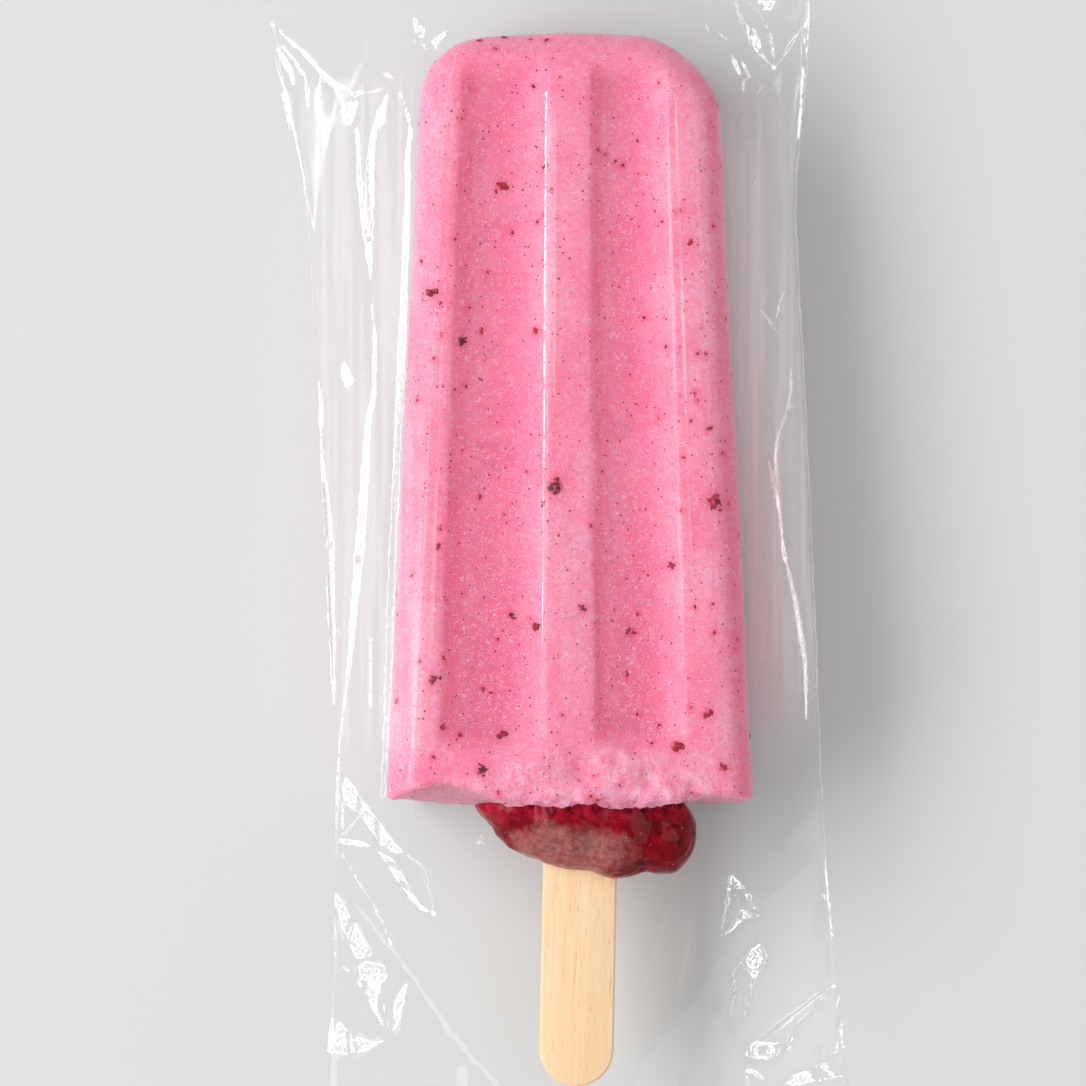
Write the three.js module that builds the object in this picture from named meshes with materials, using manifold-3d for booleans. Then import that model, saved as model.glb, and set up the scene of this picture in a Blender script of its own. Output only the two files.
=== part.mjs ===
// A frozen yogurt and fruit ice pop on a wooden stick, lying on its back in a clear film sleeve.
//
// Millimetres. +Z is up, +Y runs towards the pop's rounded tip, +X is to the right.
// The origin is the bottom centre of the sleeve, on the surface that it lies on.
//
// Four solids: the frozen body, the lump of frozen fruit round the stick, the stick, and the sleeve.
// The body is a mould casting: it tapers towards the tip and has two hollow flutes on each face.
// The stick sits in a slot in the body and the lump. The sleeve is one solid out to its outer form,
// hollow only where the pop lies, and its two layers part in a slit at the stick end.

import * as THREE from 'three';
import { mergeVertices } from 'three/addons/utils/BufferGeometryUtils.js';
import Module from 'manifold-3d';

const wasm = await Module();
wasm.setup();

// Clearances
const gap = 0.3; // between neighbouring pieces
const filmWall = 0.4; // of the sleeve over and under the pop

// Frozen body
const bodyLength = 99.7;
const bodyAxisX = 1.0;
const tipY = 71.4;
const baseY = tipY - bodyLength;
const backZ = filmWall + gap; // the body lies on its back face
const baseHalfWidth = 23.7;
const tipHalfWidth = 19.0; // where the straight sides would meet the tip
const baseThickness = 23.6;
const tipThickness = 20.0;
const longEdgeRadius = 4.8;
const tipPlanRadius = 10.5; // corners of the tip, seen from above
const tipRollRadius = 3.6; // corners of the tip, seen from the side
const tipDome = 1.0;
const baseRound = 1.1;
const baseDome = 1.5;

// Two flutes on each face, as shares of the half width
const flutes = [
  { centre: -0.435, halfWidth: 0.295 },
  { centre: 0.385, halfWidth: 0.255 },
];
const fluteDepth = 2.4;
const fluteStartFromTip = 2.8;
const fluteEndFromBase = 5.5;
const fluteRunOut = 5.0;

// Wooden stick: a standard 114 mm craft stick
const stickLength = 114;
const stickWidth = 9.6;
const stickThickness = 2.0;
const stickBevel = 0.3;
const stickEndX = 1.8;
const stickEndY = -65.5;
const stickYaw = THREE.MathUtils.degToRad(-1.1);

// Lump of frozen fruit round the stick, as three merged mounds: place on the base and radii
const mounds = [
  { x: 1.6, y: -0.6, z: 0.4, radii: [10.4, 8.6, 7.4] }, // over the stick
  { x: -4.4, y: 0.4, z: 0.2, radii: [8.2, 4.8, 6.2] }, // left shoulder
  { x: 6.4, y: -3.0, z: 0.6, radii: [7.2, 7.2, 6.9] }, // towards the right
  { x: 10.4, y: -4.4, z: 0.0, radii: [6.2, 6.2, 6.3] }, // round berry on the right
];
const moundRelief = 0.2;

// Sleeve: a flat tube of film, drawn in where the pop fills it
const sleeveHalfLength = 75;
const sleeveHalfWidth = 35.3;
const sleeveDrawIn = 3.4;
const sleeveTurn = 0.037; // slope of its two ends, which are square to its own axis
const sleeveCentreTip = -2.8; // its centre line, at the tip and at the mouth
const sleeveCentreMouth = 3.3;
const seamHalfThickness = 0.7;
const seamSideHeight = 7.5; // where the layers meet: about half way up the pop
const seamEndHeight = 9.5;
const underStickHeight = 5.0; // the lower layer rises to this under the stick's end
const mouthSlitHalfHeight = 0.3;
const mouthSlitHalfWidth = 28; // at the end of the sleeve
const mouthSlitInnerHalfWidth = 8; // where it meets the hollow round the stick

const { clamp, lerp, smoothstep } = THREE.MathUtils;

// --- Helpers ---------------------------------------------------------------------------------

// A closed geometry becomes a solid that can be joined and cut.
function toSolid(geometry) {
  const bare = new THREE.BufferGeometry();
  bare.setAttribute('position', geometry.getAttribute('position'));
  bare.setIndex(geometry.index);
  const merged = mergeVertices(bare, 1e-4);
  const mesh = new wasm.Mesh({
    numProp: 3,
    vertProperties: new Float32Array(merged.getAttribute('position').array),
    triVerts: new Uint32Array(merged.index.array),
  });
  return new wasm.Manifold(mesh);
}

function toGeometry(solid) {
  const mesh = solid.getMesh();
  const geometry = new THREE.BufferGeometry();
  geometry.setAttribute('position', new THREE.BufferAttribute(mesh.vertProperties, 3));
  geometry.setIndex(new THREE.BufferAttribute(mesh.triVerts, 1));
  geometry.computeVertexNormals();
  return geometry;
}

// Rings of equal point count, from the first to the last, closed at both ends by a pole.
function skinRings(rings, firstPole, lastPole) {
  const count = rings[0].length;
  const points = [firstPole, ...rings.flat(), lastPole];
  const lastIndex = points.length - 1;
  const faces = [];
  const at = (ring, i) => 1 + ring * count + (i % count);
  for (let i = 0; i < count; i += 1) {
    faces.push(0, at(0, i + 1), at(0, i));
    for (let ring = 0; ring + 1 < rings.length; ring += 1) {
      faces.push(at(ring, i), at(ring + 1, i + 1), at(ring + 1, i));
      faces.push(at(ring, i), at(ring, i + 1), at(ring + 1, i + 1));
    }
    faces.push(lastIndex, at(rings.length - 1, i), at(rings.length - 1, i + 1));
  }
  const geometry = new THREE.BufferGeometry();
  geometry.setAttribute('position', new THREE.Float32BufferAttribute(points.flat(), 3));
  geometry.setIndex(faces);
  return geometry;
}

// --- Frozen body -----------------------------------------------------------------------------

const halfWidthAt = (y) => lerp(baseHalfWidth, tipHalfWidth, (y - baseY) / bodyLength);
const halfThicknessAt = (y) => lerp(baseThickness, tipThickness, (y - baseY) / bodyLength) / 2;
const midHeightAt = (y) => backZ + halfThicknessAt(y);

// How far a quarter round of this radius has drawn in, this far before its end.
function roundInset(radius, fromEnd) {
  const past = clamp(radius - fromEnd, 0, radius);
  return radius - Math.sqrt(radius * radius - past * past);
}

// Depth of the flutes: steep at the walls and hollow between them, running out at both ends.
function fluteDepthAt(share, y) {
  const fromTip = smoothstep(tipY - fluteStartFromTip - y, 0, fluteRunOut);
  const fromBase = smoothstep(y - baseY - fluteEndFromBase, 0, fluteRunOut);
  let depth = 0;
  for (const flute of flutes) {
    const across = (share - flute.centre) / flute.halfWidth;
    depth += fluteDepth * Math.pow(Math.max(0, 1 - across * across), 0.7);
  }
  return depth * fromTip * fromBase;
}

// One cross-section of the body, as points round its middle.
function bodySection(halfWidth, halfThickness, radius, faceSteps, depthAt) {
  const cornerSteps = 4;
  const points = [];
  const flat = halfWidth - radius;
  for (let i = 0; i <= faceSteps; i += 1) {
    const x = lerp(-flat, flat, i / faceSteps);
    points.push([x, halfThickness - depthAt(x / halfWidth)]);
  }
  for (let i = 1; i <= cornerSteps; i += 1) {
    const angle = (i / cornerSteps) * Math.PI / 2;
    points.push([flat + radius * Math.sin(angle), halfThickness - radius + radius * Math.cos(angle)]);
  }
  const front = points.slice();
  const rightSide = front.slice(faceSteps + 1);
  const back = front.slice(0, faceSteps + 1).reverse().map(([x, z]) => [x, -z]);
  const lowerRight = rightSide.slice().reverse().map(([x, z]) => [x, -z]);
  const lowerLeft = rightSide.map(([x, z]) => [-x, -z]);
  const upperLeft = rightSide.slice().reverse().map(([x, z]) => [-x, z]);
  return [...front, ...lowerRight, ...back, ...lowerLeft, ...upperLeft];
}

// The body's form, grown outwards by an even clearance, with or without its flutes.
function bodyForm(growth, hasFlutes) {
  const faceSteps = hasFlutes ? 24 : 4;
  const planRadius = tipPlanRadius + growth;
  const rollRadius = tipRollRadius + growth;
  const tipEnd = tipY - tipDome + growth;
  const baseEnd = baseY - growth;
  const rings = [];

  const addRing = (y, baseInset, faceScale, yShift) => {
    const inset = roundInset(planRadius, tipEnd - y) + baseInset;
    const roll = roundInset(rollRadius, tipEnd - y) + baseInset;
    const halfWidth = (halfWidthAt(y) + growth - inset) * faceScale;
    const halfThickness = (halfThicknessAt(y) + growth - roll) * faceScale;
    const radius = Math.min(longEdgeRadius + growth, halfThickness * 0.8, halfWidth * 0.8);
    const depthAt = (share) => (hasFlutes ? fluteDepthAt(share, y) * faceScale : 0);
    const section = bodySection(halfWidth, halfThickness, radius, faceSteps, depthAt);
    rings.push(section.map(([x, z]) => [bodyAxisX + x, y + yShift, midHeightAt(y) + z]));
  };

  // Base: a low dome out to a rounded rim
  for (const faceScale of [0.35, 0.7]) {
    addRing(baseEnd, baseRound, faceScale, -baseDome * (1 - faceScale * faceScale));
  }
  for (const turn of [0, 0.5, 1]) {
    const angle = turn * Math.PI / 2;
    addRing(baseEnd + baseRound * (1 - Math.cos(angle)), baseRound * (1 - Math.sin(angle)), 1, 0);
  }
  // Straight flanks
  const flankStart = baseEnd + baseRound;
  const flankEnd = tipEnd - planRadius;
  const flankSteps = hasFlutes ? 15 : 6;
  for (let i = 1; i <= flankSteps; i += 1) {
    addRing(lerp(flankStart, flankEnd, i / flankSteps), 0, 1, 0);
  }
  // Rounded tip
  const tipSteps = 8;
  for (let i = 1; i <= tipSteps; i += 1) {
    addRing(tipEnd - planRadius * (1 - Math.sin((i / tipSteps) * Math.PI / 2)), 0, 1, 0);
  }
  for (const faceScale of [0.7, 0.35]) {
    addRing(tipEnd, 0, faceScale, tipDome * (1 - faceScale * faceScale));
  }
  const basePole = [bodyAxisX, baseEnd - baseDome, midHeightAt(baseEnd)];
  const tipPole = [bodyAxisX, tipEnd + tipDome, midHeightAt(tipEnd)];
  return skinRings(rings, basePole, tipPole);
}

// --- Wooden stick ----------------------------------------------------------------------------

// Its pitch follows the middle of the body, which is thicker at the base than at the tip.
const stickPitch = -Math.atan((baseThickness - tipThickness) / 2 / bodyLength);

function stickForm(growth) {
  const end = stickWidth / 2 + growth;
  const outline = new THREE.Shape();
  outline.absarc(0, stickWidth / 2, end, Math.PI, 2 * Math.PI, false);
  outline.absarc(0, stickLength - stickWidth / 2, end, 0, Math.PI, false);
  outline.closePath();
  const geometry = new THREE.ExtrudeGeometry(outline, {
    depth: stickThickness + 2 * growth - 2 * stickBevel,
    curveSegments: 14,
    bevelEnabled: true,
    bevelThickness: stickBevel,
    bevelSize: stickBevel,
    bevelOffset: -stickBevel,
    bevelSegments: 1,
  });
  geometry.translate(0, 0, -(stickThickness + 2 * growth - 2 * stickBevel) / 2);
  geometry.rotateX(stickPitch);
  geometry.rotateZ(stickYaw);
  geometry.translate(stickEndX, stickEndY, midHeightAt(stickEndY));
  return indexed(geometry);
}

// ExtrudeGeometry has no index: shared corners are merged into one.
function indexed(geometry) {
  geometry.deleteAttribute('normal');
  geometry.deleteAttribute('uv');
  return mergeVertices(geometry, 1e-4);
}

// --- Lump of frozen fruit --------------------------------------------------------------------

// One mound: an ellipsoid with shallow bumps, grown outwards by a clearance.
function moundForm(mound, growth) {
  const geometry = new THREE.SphereGeometry(1, 20, 14);
  geometry.rotateX(Math.PI / 2);
  const position = geometry.getAttribute('position');
  const point = new THREE.Vector3();
  for (let i = 0; i < position.count; i += 1) {
    point.fromBufferAttribute(position, i);
    const bumps = Math.sin(5 * point.x + mound.x) * Math.sin(5 * point.y) * Math.cos(4 * point.z);
    const relief = growth > 0 ? moundRelief : moundRelief * bumps;
    point.set(
      point.x * (mound.radii[0] + relief + growth),
      point.y * (mound.radii[1] + relief + growth),
      point.z * (mound.radii[2] + relief + growth),
    );
    position.setXYZ(i, point.x, point.y, point.z);
  }
  geometry.translate(bodyAxisX + mound.x, baseY + mound.y, midHeightAt(baseY) + mound.z);
  return indexed(geometry);
}

function lumpForm(growth) {
  return mounds
    .map((mound) => toSolid(moundForm(mound, growth)))
    .reduce((joined, mound) => joined.add(mound));
}

// --- Film sleeve -----------------------------------------------------------------------------

const sleeveDistance = (y) => (sleeveHalfLength - y) / (2 * sleeveHalfLength);

// Side edges of the sleeve at this place along it: its centre line curves with the turn of the
// sleeve, and it is narrower where the pop fills it.
function sleeveEdges(along) {
  const share = sleeveDistance(along);
  const turn = 1 - Math.pow(clamp(1 - share, 0, 1), 1.5);
  const centre = lerp(sleeveCentreTip, sleeveCentreMouth, turn);
  const filled = smoothstep(share, 0, 0.2) * (1 - smoothstep(share, 0.68, 1.1));
  const half = sleeveHalfWidth - sleeveDrawIn * filled;
  return { left: centre - half, right: centre + half };
}

// What spreads the film at each place along the sleeve: half width and height of its top, and the
// height of its floor.
const bodyTopAt = (y) => backZ + 2 * halfThicknessAt(y) + gap + filmWall;
const supports = [
  { y: -66.6, halfWidth: 5.5, height: 15.6, floor: underStickHeight }, // end of the stick
  { y: -41.5, halfWidth: 13, height: 20.6, floor: underStickHeight * 0.3 }, // end of the lump
  { y: baseY - 1.6, halfWidth: baseHalfWidth - 1.5, height: bodyTopAt(baseY - 1.6), floor: 0 },
  { y: tipY - 12, halfWidth: tipHalfWidth - 1.2, height: bodyTopAt(tipY - 12), floor: 0 },
  { y: tipY - 2.4, halfWidth: 13.5, height: bodyTopAt(tipY - 2.4), floor: 0 },
];

function supportAt(y) {
  const first = supports[0];
  const last = supports[supports.length - 1];
  if (y <= first.y) return first;
  if (y >= last.y) return last;
  const next = supports.findIndex((support) => support.y > y);
  const [a, b] = [supports[next - 1], supports[next]];
  const share = (y - a.y) / (b.y - a.y);
  return {
    halfWidth: lerp(a.halfWidth, b.halfWidth, share),
    height: lerp(a.height, b.height, share),
    floor: lerp(a.floor, b.floor, share),
  };
}

// Height of the seam, where the two layers of film meet: low at the sides, raised at the ends.
function seamHeight(across, along) {
  const toEnd = smoothstep(Math.abs(along), sleeveHalfLength - 14, sleeveHalfLength);
  return seamSideHeight + (seamEndHeight - seamSideHeight) * toEnd * (1 - across * across);
}

// The two layers at one point: across runs from -1 to 1 between the edges.
function sleeveLayers(column, along) {
  const edges = sleeveEdges(along);
  const middleY = along + bodyAxisX * sleeveTurn;
  const support = supportAt(middleY);
  const out = Math.abs(column) - sleevePlateau;
  const side = column < 0 ? edges.left : edges.right;
  const rim = bodyAxisX + Math.sign(column) * support.halfWidth;
  const outShare = clamp(out / (1 - sleevePlateau), 0, 1);
  const plateauX = bodyAxisX + (column / sleevePlateau) * support.halfWidth;
  const x = out <= 0 ? plateauX : lerp(rim, side, outShare);
  const across = (x - (edges.left + edges.right) / 2) / ((edges.right - edges.left) / 2);
  const seam = seamHeight(clamp(across, -1, 1), along);

  const endZone = along > 0 ? sleeveHalfLength - tipY + 2.4 : sleeveHalfLength + supports[0].y;
  const toEnd = clamp((Math.abs(along) - sleeveHalfLength + endZone) / endZone, 0, 1);
  const lift = (1 - Math.pow(outShare, 1.3)) * (1 - Math.pow(toEnd, 1.6));
  const top = lerp(seam + seamHalfThickness, support.height, lift);
  const bottom = lerp(seam - seamHalfThickness, support.floor, lift);
  return { x, y: along + x * sleeveTurn, top, bottom };
}

const sleevePlateau = 0.4; // share of the columns that lie over the pop

// A closed solid between a lower and an upper layer over a grid of columns and rows.
function layeredForm(columns, rows, layersAt) {
  const rings = rows.map((along) => {
    const layers = columns.map((column) => layersAt(column, along));
    const upper = layers.map(({ x, y, top }) => [x, y, top]);
    const lower = layers.map(({ x, y, bottom }) => [x, y, bottom]).reverse();
    return [...upper, ...lower];
  });
  const middle = Math.floor(columns.length / 2);
  const pole = (along) => {
    const { x, y, top, bottom } = layersAt(columns[middle], along);
    return [x, y, (top + bottom) / 2];
  };
  return skinRings(rings, pole(rows[0]), pole(rows[rows.length - 1]));
}

const evenly = (from, to, steps) =>
  Array.from({ length: steps + 1 }, (_, i) => lerp(from, to, i / steps));

function sleeveForm() {
  const columns = [
    ...evenly(-1, -sleevePlateau, 7),
    ...evenly(-sleevePlateau, sleevePlateau, 4).slice(1, -1),
    ...evenly(sleevePlateau, 1, 7),
  ];
  const rows = [
    ...evenly(-sleeveHalfLength, -sleeveHalfLength + 9, 6),
    ...evenly(-sleeveHalfLength + 9, sleeveHalfLength - 6, 30).slice(1, -1),
    ...evenly(sleeveHalfLength - 6, sleeveHalfLength, 5),
  ];
  return layeredForm(columns, rows, sleeveLayers);
}

// The mouth: a slit between the layers, from the hollow round the stick out through the end.
function mouthSlit() {
  const innerAlong = stickEndY + 4;
  const outerAlong = -sleeveHalfLength - 1;
  const columns = evenly(-1, 1, 12);
  const rows = evenly(outerAlong, innerAlong, 6);
  return layeredForm(columns, rows, (column, along) => {
    const edges = sleeveEdges(along);
    const centre = (edges.left + edges.right) / 2;
    const inwards = clamp((along + sleeveHalfLength) / (innerAlong + sleeveHalfLength), 0, 1);
    const halfWidth = lerp(mouthSlitHalfWidth, mouthSlitInnerHalfWidth, inwards);
    const x = lerp(centre, stickEndX, inwards) + column * halfWidth;
    const across = (x - centre) / ((edges.right - edges.left) / 2);
    const seam = seamHeight(across, -sleeveHalfLength);
    const middle = lerp(seam, midHeightAt(stickEndY), inwards);
    return {
      x,
      y: along + x * sleeveTurn,
      top: middle + mouthSlitHalfHeight,
      bottom: middle - mouthSlitHalfHeight,
    };
  });
}

// --- The part --------------------------------------------------------------------------------

const part = new THREE.Group();

function addPiece(name, solid, material) {
  const mesh = new THREE.Mesh(toGeometry(solid), new THREE.MeshStandardMaterial(material));
  mesh.name = name;
  part.add(mesh);
}

const stickSlot = toSolid(stickForm(gap));

addPiece(
  'frozen_body',
  toSolid(bodyForm(0, true)).subtract(stickSlot),
  { color: '#f48fb1', roughness: 0.45, metalness: 0 },
);

addPiece(
  'fruit_lump',
  lumpForm(0).subtract(toSolid(bodyForm(gap, false))).subtract(stickSlot),
  { color: '#74101e', roughness: 0.25, metalness: 0 },
);

addPiece(
  'wooden_stick',
  toSolid(stickForm(0)),
  { color: '#f8d5ab', roughness: 0.7, metalness: 0 },
);

addPiece(
  'film_sleeve',
  toSolid(sleeveForm())
    .subtract(toSolid(bodyForm(gap, false)))
    .subtract(lumpForm(gap))
    .subtract(stickSlot)
    .subtract(toSolid(mouthSlit())),
  { color: '#eef1f2', roughness: 0.08, metalness: 0 },
);

export default part;
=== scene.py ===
# %% [markdown]
# # A frozen yogurt ice pop in a clear sleeve
#
# This lesson dresses a plain solid model of an ice pop. The solids say how large each piece is and
# where it lies. The pieces made here take their places: a cast of pink frozen yogurt with fruit in
# it, a lump of dark frozen fruit, a birch stick, and a sleeve of thin clear film.
#
# Everything is in one frame, in metres. The pop lies on its back: +Z is up out of its front face,
# +Y runs towards its rounded tip, and +X is to the right. Sizes are named in millimetres, which are
# easier to think in, and `MM` turns them into metres.

import math

import bpy
import numpy as np
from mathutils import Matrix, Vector
from mathutils.bvhtree import BVHTree


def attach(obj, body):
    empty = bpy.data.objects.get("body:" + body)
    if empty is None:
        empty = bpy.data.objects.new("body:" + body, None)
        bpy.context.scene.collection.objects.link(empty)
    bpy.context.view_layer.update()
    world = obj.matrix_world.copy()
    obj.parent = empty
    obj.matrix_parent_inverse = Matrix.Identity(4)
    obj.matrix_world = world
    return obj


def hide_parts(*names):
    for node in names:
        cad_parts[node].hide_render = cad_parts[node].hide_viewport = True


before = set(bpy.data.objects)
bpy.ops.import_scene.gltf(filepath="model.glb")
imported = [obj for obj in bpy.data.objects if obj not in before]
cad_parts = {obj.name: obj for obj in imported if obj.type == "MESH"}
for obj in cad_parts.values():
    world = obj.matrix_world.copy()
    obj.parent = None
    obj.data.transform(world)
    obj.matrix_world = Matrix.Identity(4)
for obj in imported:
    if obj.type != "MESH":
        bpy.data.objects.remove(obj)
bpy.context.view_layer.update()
MM = 0.001
print("nodes:", sorted(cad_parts))

# %% [markdown]
# ## Camera
#
# The pop is looked at from straight above, from nearly a metre away through a long lens. A long
# lens keeps the sides of a thing from spreading, so its outline stays close to its plan. The lens
# is worked out from the width that should fill the view at the height of the pop's middle.

# %% Place the camera
VIEW_CENTRE_X = -2.47
VIEW_CENTRE_Y = 5.07
VIEW_WIDTH = 141.2
VIEW_HEIGHT_Z = 13.0
CAMERA_DISTANCE = 900.0
SENSOR_WIDTH = 36.0

bpy.ops.object.camera_add(
    location=(
        VIEW_CENTRE_X * MM,
        VIEW_CENTRE_Y * MM,
        (VIEW_HEIGHT_Z + CAMERA_DISTANCE) * MM,
    ),
    rotation=(0, 0, 0),
)
camera = bpy.context.object
camera.name = "view_camera"
camera.data.sensor_width = SENSOR_WIDTH
camera.data.lens = SENSOR_WIDTH * CAMERA_DISTANCE / VIEW_WIDTH
camera.data.clip_start = 0.05
camera.data.clip_end = 10
bpy.context.scene.camera = camera
print("lens, mm:", round(camera.data.lens, 1))

# %% [markdown]
# ## Light
#
# Clear film is seen by what it mirrors. One long softbox lies to the left, half way up the sky, so
# each fold of film that tilts about 22 degrees to the left mirrors it to the camera and flashes
# white. It also gives the soft shadow on the right. A large panel overhead fills the shadows. It is
# kept out of the mirror images, or all level film would be veiled by it. A white card on the right
# is only there to be mirrored, by the film that lies in the pop's shadow. The room itself is pale
# at the sides and dim overhead, where the camera stands.

# %% Hang the lights
KEY_DISTANCE = 1.8
KEY_AZIMUTH, KEY_ELEVATION = 176, 39.5
KEY_WIDTH = 0.66
KEY_LENGTH = 2.4
KEY_RADIANCE = 6.2
FILL_HEIGHT = 1.5
FILL_SIDE = 2.4
FILL_RADIANCE = 0.52
CARD_AZIMUTH, CARD_ELEVATION = 0, 50
CARD_DISTANCE = 1.6
CARD_WIDTH = 1.3
CARD_LENGTH = 2.2
CARD_RADIANCE = 2.0


def toward(azimuth, elevation):
    """A direction from its two angles in degrees."""
    turn, rise = math.radians(azimuth), math.radians(elevation)
    level = math.cos(rise)
    return Vector((level * math.cos(turn), level * math.sin(turn), math.sin(rise)))


def add_softbox(name, location, facing, width, length, radiance):
    """A rectangular light, its length level, turned to face away from a direction."""
    bpy.ops.object.light_add(type="AREA", location=location)
    softbox = bpy.context.object
    softbox.name = name
    softbox.rotation_euler = facing.to_track_quat("Z", "X").to_euler()
    softbox.data.shape = "RECTANGLE"
    softbox.data.size = width
    softbox.data.size_y = length
    softbox.data.energy = radiance * math.pi * width * length
    softbox.visible_camera = False
    print(name, "W:", round(softbox.data.energy, 2))
    return softbox


aim_point = Vector((VIEW_CENTRE_X, VIEW_CENTRE_Y, VIEW_HEIGHT_Z)) * MM
key_direction = toward(KEY_AZIMUTH, KEY_ELEVATION)
add_softbox(
    "key_softbox",
    aim_point + key_direction * KEY_DISTANCE,
    key_direction,
    KEY_WIDTH,
    KEY_LENGTH,
    KEY_RADIANCE,
)
overhead = Vector((0, 0, 1))
fill_light = add_softbox(
    "fill_panel", overhead * FILL_HEIGHT, overhead, FILL_SIDE, FILL_SIDE, FILL_RADIANCE
)
fill_light.visible_glossy = False
card_direction = toward(CARD_AZIMUTH, CARD_ELEVATION)
card = add_softbox(
    "white_card",
    aim_point + card_direction * CARD_DISTANCE,
    card_direction,
    CARD_WIDTH,
    CARD_LENGTH,
    CARD_RADIANCE,
)
card.visible_diffuse = False

# %% [markdown]
# The room is a world shader. Its brightness runs from the level at the horizon to the level
# overhead by the square of how far up a direction points. Nodes are added and linked here for the
# first time, and two helpers keep that short.

# %% Build the room
ROOM_HORIZON = 0.56
ROOM_ZENITH = 0.12


def feed(tree, node, values):
    """Links each value that is a socket to the node's input, and sets any other on the input."""
    for key, value in values.items():
        if isinstance(value, bpy.types.NodeSocket):
            tree.links.new(value, node.inputs[key])
        else:
            node.inputs[key].default_value = value


def add_node(tree, kind, values=None, **settings):
    """Adds a node with its settings, and feeds its inputs."""
    made = tree.nodes.new(kind)
    for name, value in settings.items():
        setattr(made, name, value)
    feed(tree, made, values or {})
    return made


room = bpy.data.worlds.new("pale_room")
room.use_nodes = True
tree = room.node_tree
tree.nodes.clear()
direction = add_node(tree, "ShaderNodeTexCoord").outputs["Generated"]
upward = add_node(tree, "ShaderNodeSeparateXYZ", {0: direction}).outputs["Z"]
above = add_node(tree, "ShaderNodeMath", {0: upward, 1: 0.0}, operation="MAXIMUM")
squared = add_node(tree, "ShaderNodeMath", {0: above.outputs[0], 1: 2.0}, operation="POWER")
level = add_node(
    tree,
    "ShaderNodeMapRange",
    {"Value": squared.outputs[0], "To Min": ROOM_HORIZON, "To Max": ROOM_ZENITH},
)
glow = add_node(
    tree,
    "ShaderNodeBackground",
    {"Color": (1.0, 1.0, 1.0, 1.0), "Strength": level.outputs["Result"]},
)
add_node(tree, "ShaderNodeOutputWorld", {"Surface": glow.outputs[0]})
bpy.context.scene.world = room
bpy.context.scene.view_settings.view_transform = "Standard"
print("room:", len(tree.nodes), "nodes")

# %% [markdown]
# ## Floor
#
# The floor is only there to carry the shadow and to show through the film.

# %% Lay the floor
FLOOR_SIDE = 6.0
FLOOR_COLOUR = (0.705, 0.715, 0.717, 1.0)


def start_material(name):
    """Returns a new material and its node tree, which holds a Principled shader."""
    material = bpy.data.materials.new(name)
    material.use_nodes = True
    return material, material.node_tree


def coat(piece, material, values):
    """Feeds the material's Principled shader, and gives the material to the piece."""
    tree = material.node_tree
    feed(tree, tree.nodes["Principled BSDF"], values)
    piece.data.materials.append(material)
    print(piece.name, "has", material.name + ":", len(tree.nodes), "nodes")


bpy.ops.object.select_all(action="DESELECT")
bpy.ops.mesh.primitive_plane_add(size=FLOOR_SIDE, location=(0, 0, 0))
floor = bpy.context.object
floor.name = "pale_floor"
paper, _ = start_material("pale_paper")
coat(floor, paper, {"Base Color": FLOOR_COLOUR, "Roughness": 0.9, "Specular IOR Level": 0.1})
print("floor, m:", [round(v, 1) for v in floor.dimensions])

# %% [markdown]
# ## Tools for modelling
#
# Blender's operators act on what is selected. When the work is done by a script, the vertices and
# edges are chosen by a rule on their place, in object mode, before edit mode is entered. A few
# small helpers do that. Other helpers follow where they are first needed.

# %% Choosing what an operator acts on


def begin_piece():
    """Clears the selection, so that the next operator acts on the new piece alone."""
    if bpy.context.object and bpy.context.object.mode != "OBJECT":
        bpy.ops.object.mode_set(mode="OBJECT")
    bpy.ops.object.select_all(action="DESELECT")


def choose(piece):
    """Makes the piece the one that operators act on."""
    begin_piece()
    piece.select_set(True)
    bpy.context.view_layer.objects.active = piece


def edit_where(piece, kind, rule):
    """Enters edit mode with the vertices or edges selected for which the rule holds."""
    bpy.ops.object.mode_set(mode="EDIT")
    bpy.ops.mesh.select_mode(type=kind)
    bpy.ops.mesh.select_all(action="DESELECT")
    bpy.ops.object.mode_set(mode="OBJECT")
    items = piece.data.vertices if kind == "VERT" else piece.data.edges
    chosen = [item for item in items if rule(item)]
    for item in chosen:
        item.select = True
    bpy.ops.object.mode_set(mode="EDIT")
    return len(chosen)


def leave_edit():
    bpy.ops.object.mode_set(mode="OBJECT")


def settle(piece):
    """Puts the place, turn and size of the object into its mesh."""
    choose(piece)
    bpy.ops.object.transform_apply(location=True, rotation=True, scale=True)


def add_block(name, centre, size):
    """A box from its centre and its three sides, in millimetres."""
    begin_piece()
    bpy.ops.mesh.primitive_cube_add(
        size=1, location=[v * MM for v in centre], scale=[v * MM for v in size]
    )
    block = bpy.context.object
    block.name = name
    settle(block)
    return block


# %% [markdown]
# ## The frozen body
#
# The real body is cast: liquid yogurt freezes in a metal mould that tapers towards the tip, so that
# the pop slides out. The mould has two hollow flutes on each face. The tip's corners are large
# rounds, the long edges are softer than they look, and the base, where the mould was open, is
# nearly sharp.
#
# A body like this starts as a block. Its tip end is scaled down for the taper, the two corners of
# the tip are bevelled first, then the long rim, and last the base. A voxel remesh then turns the
# few large faces into an even skin of small ones, fine enough to sink the flutes into it and to
# roughen it.

# %% Cast the block
BODY_AXIS_X = 1.0
TIP_Y = 71.4
TIP_DOME = 1.5
BODY_LENGTH = 99.7
BASE_Y = TIP_Y - BODY_LENGTH
BACK_Z = 0.7
BASE_HALF_WIDTH = 23.7
TIP_HALF_WIDTH = 19.0
BASE_THICKNESS = 23.6
TIP_THICKNESS = 20.0
# the radius of the left and of the right corner
TIP_CORNERS = {-1: 6.8, 1: 10.5}
CORNER_FROM_AXIS = 16
RIM_ROUND = 4.6
BASE_ROUND = 1.1
BODY_VOXEL = 0.46


def half_width_at(y):
    return BASE_HALF_WIDTH + (TIP_HALF_WIDTH - BASE_HALF_WIDTH) * (y - BASE_Y) / BODY_LENGTH


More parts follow.
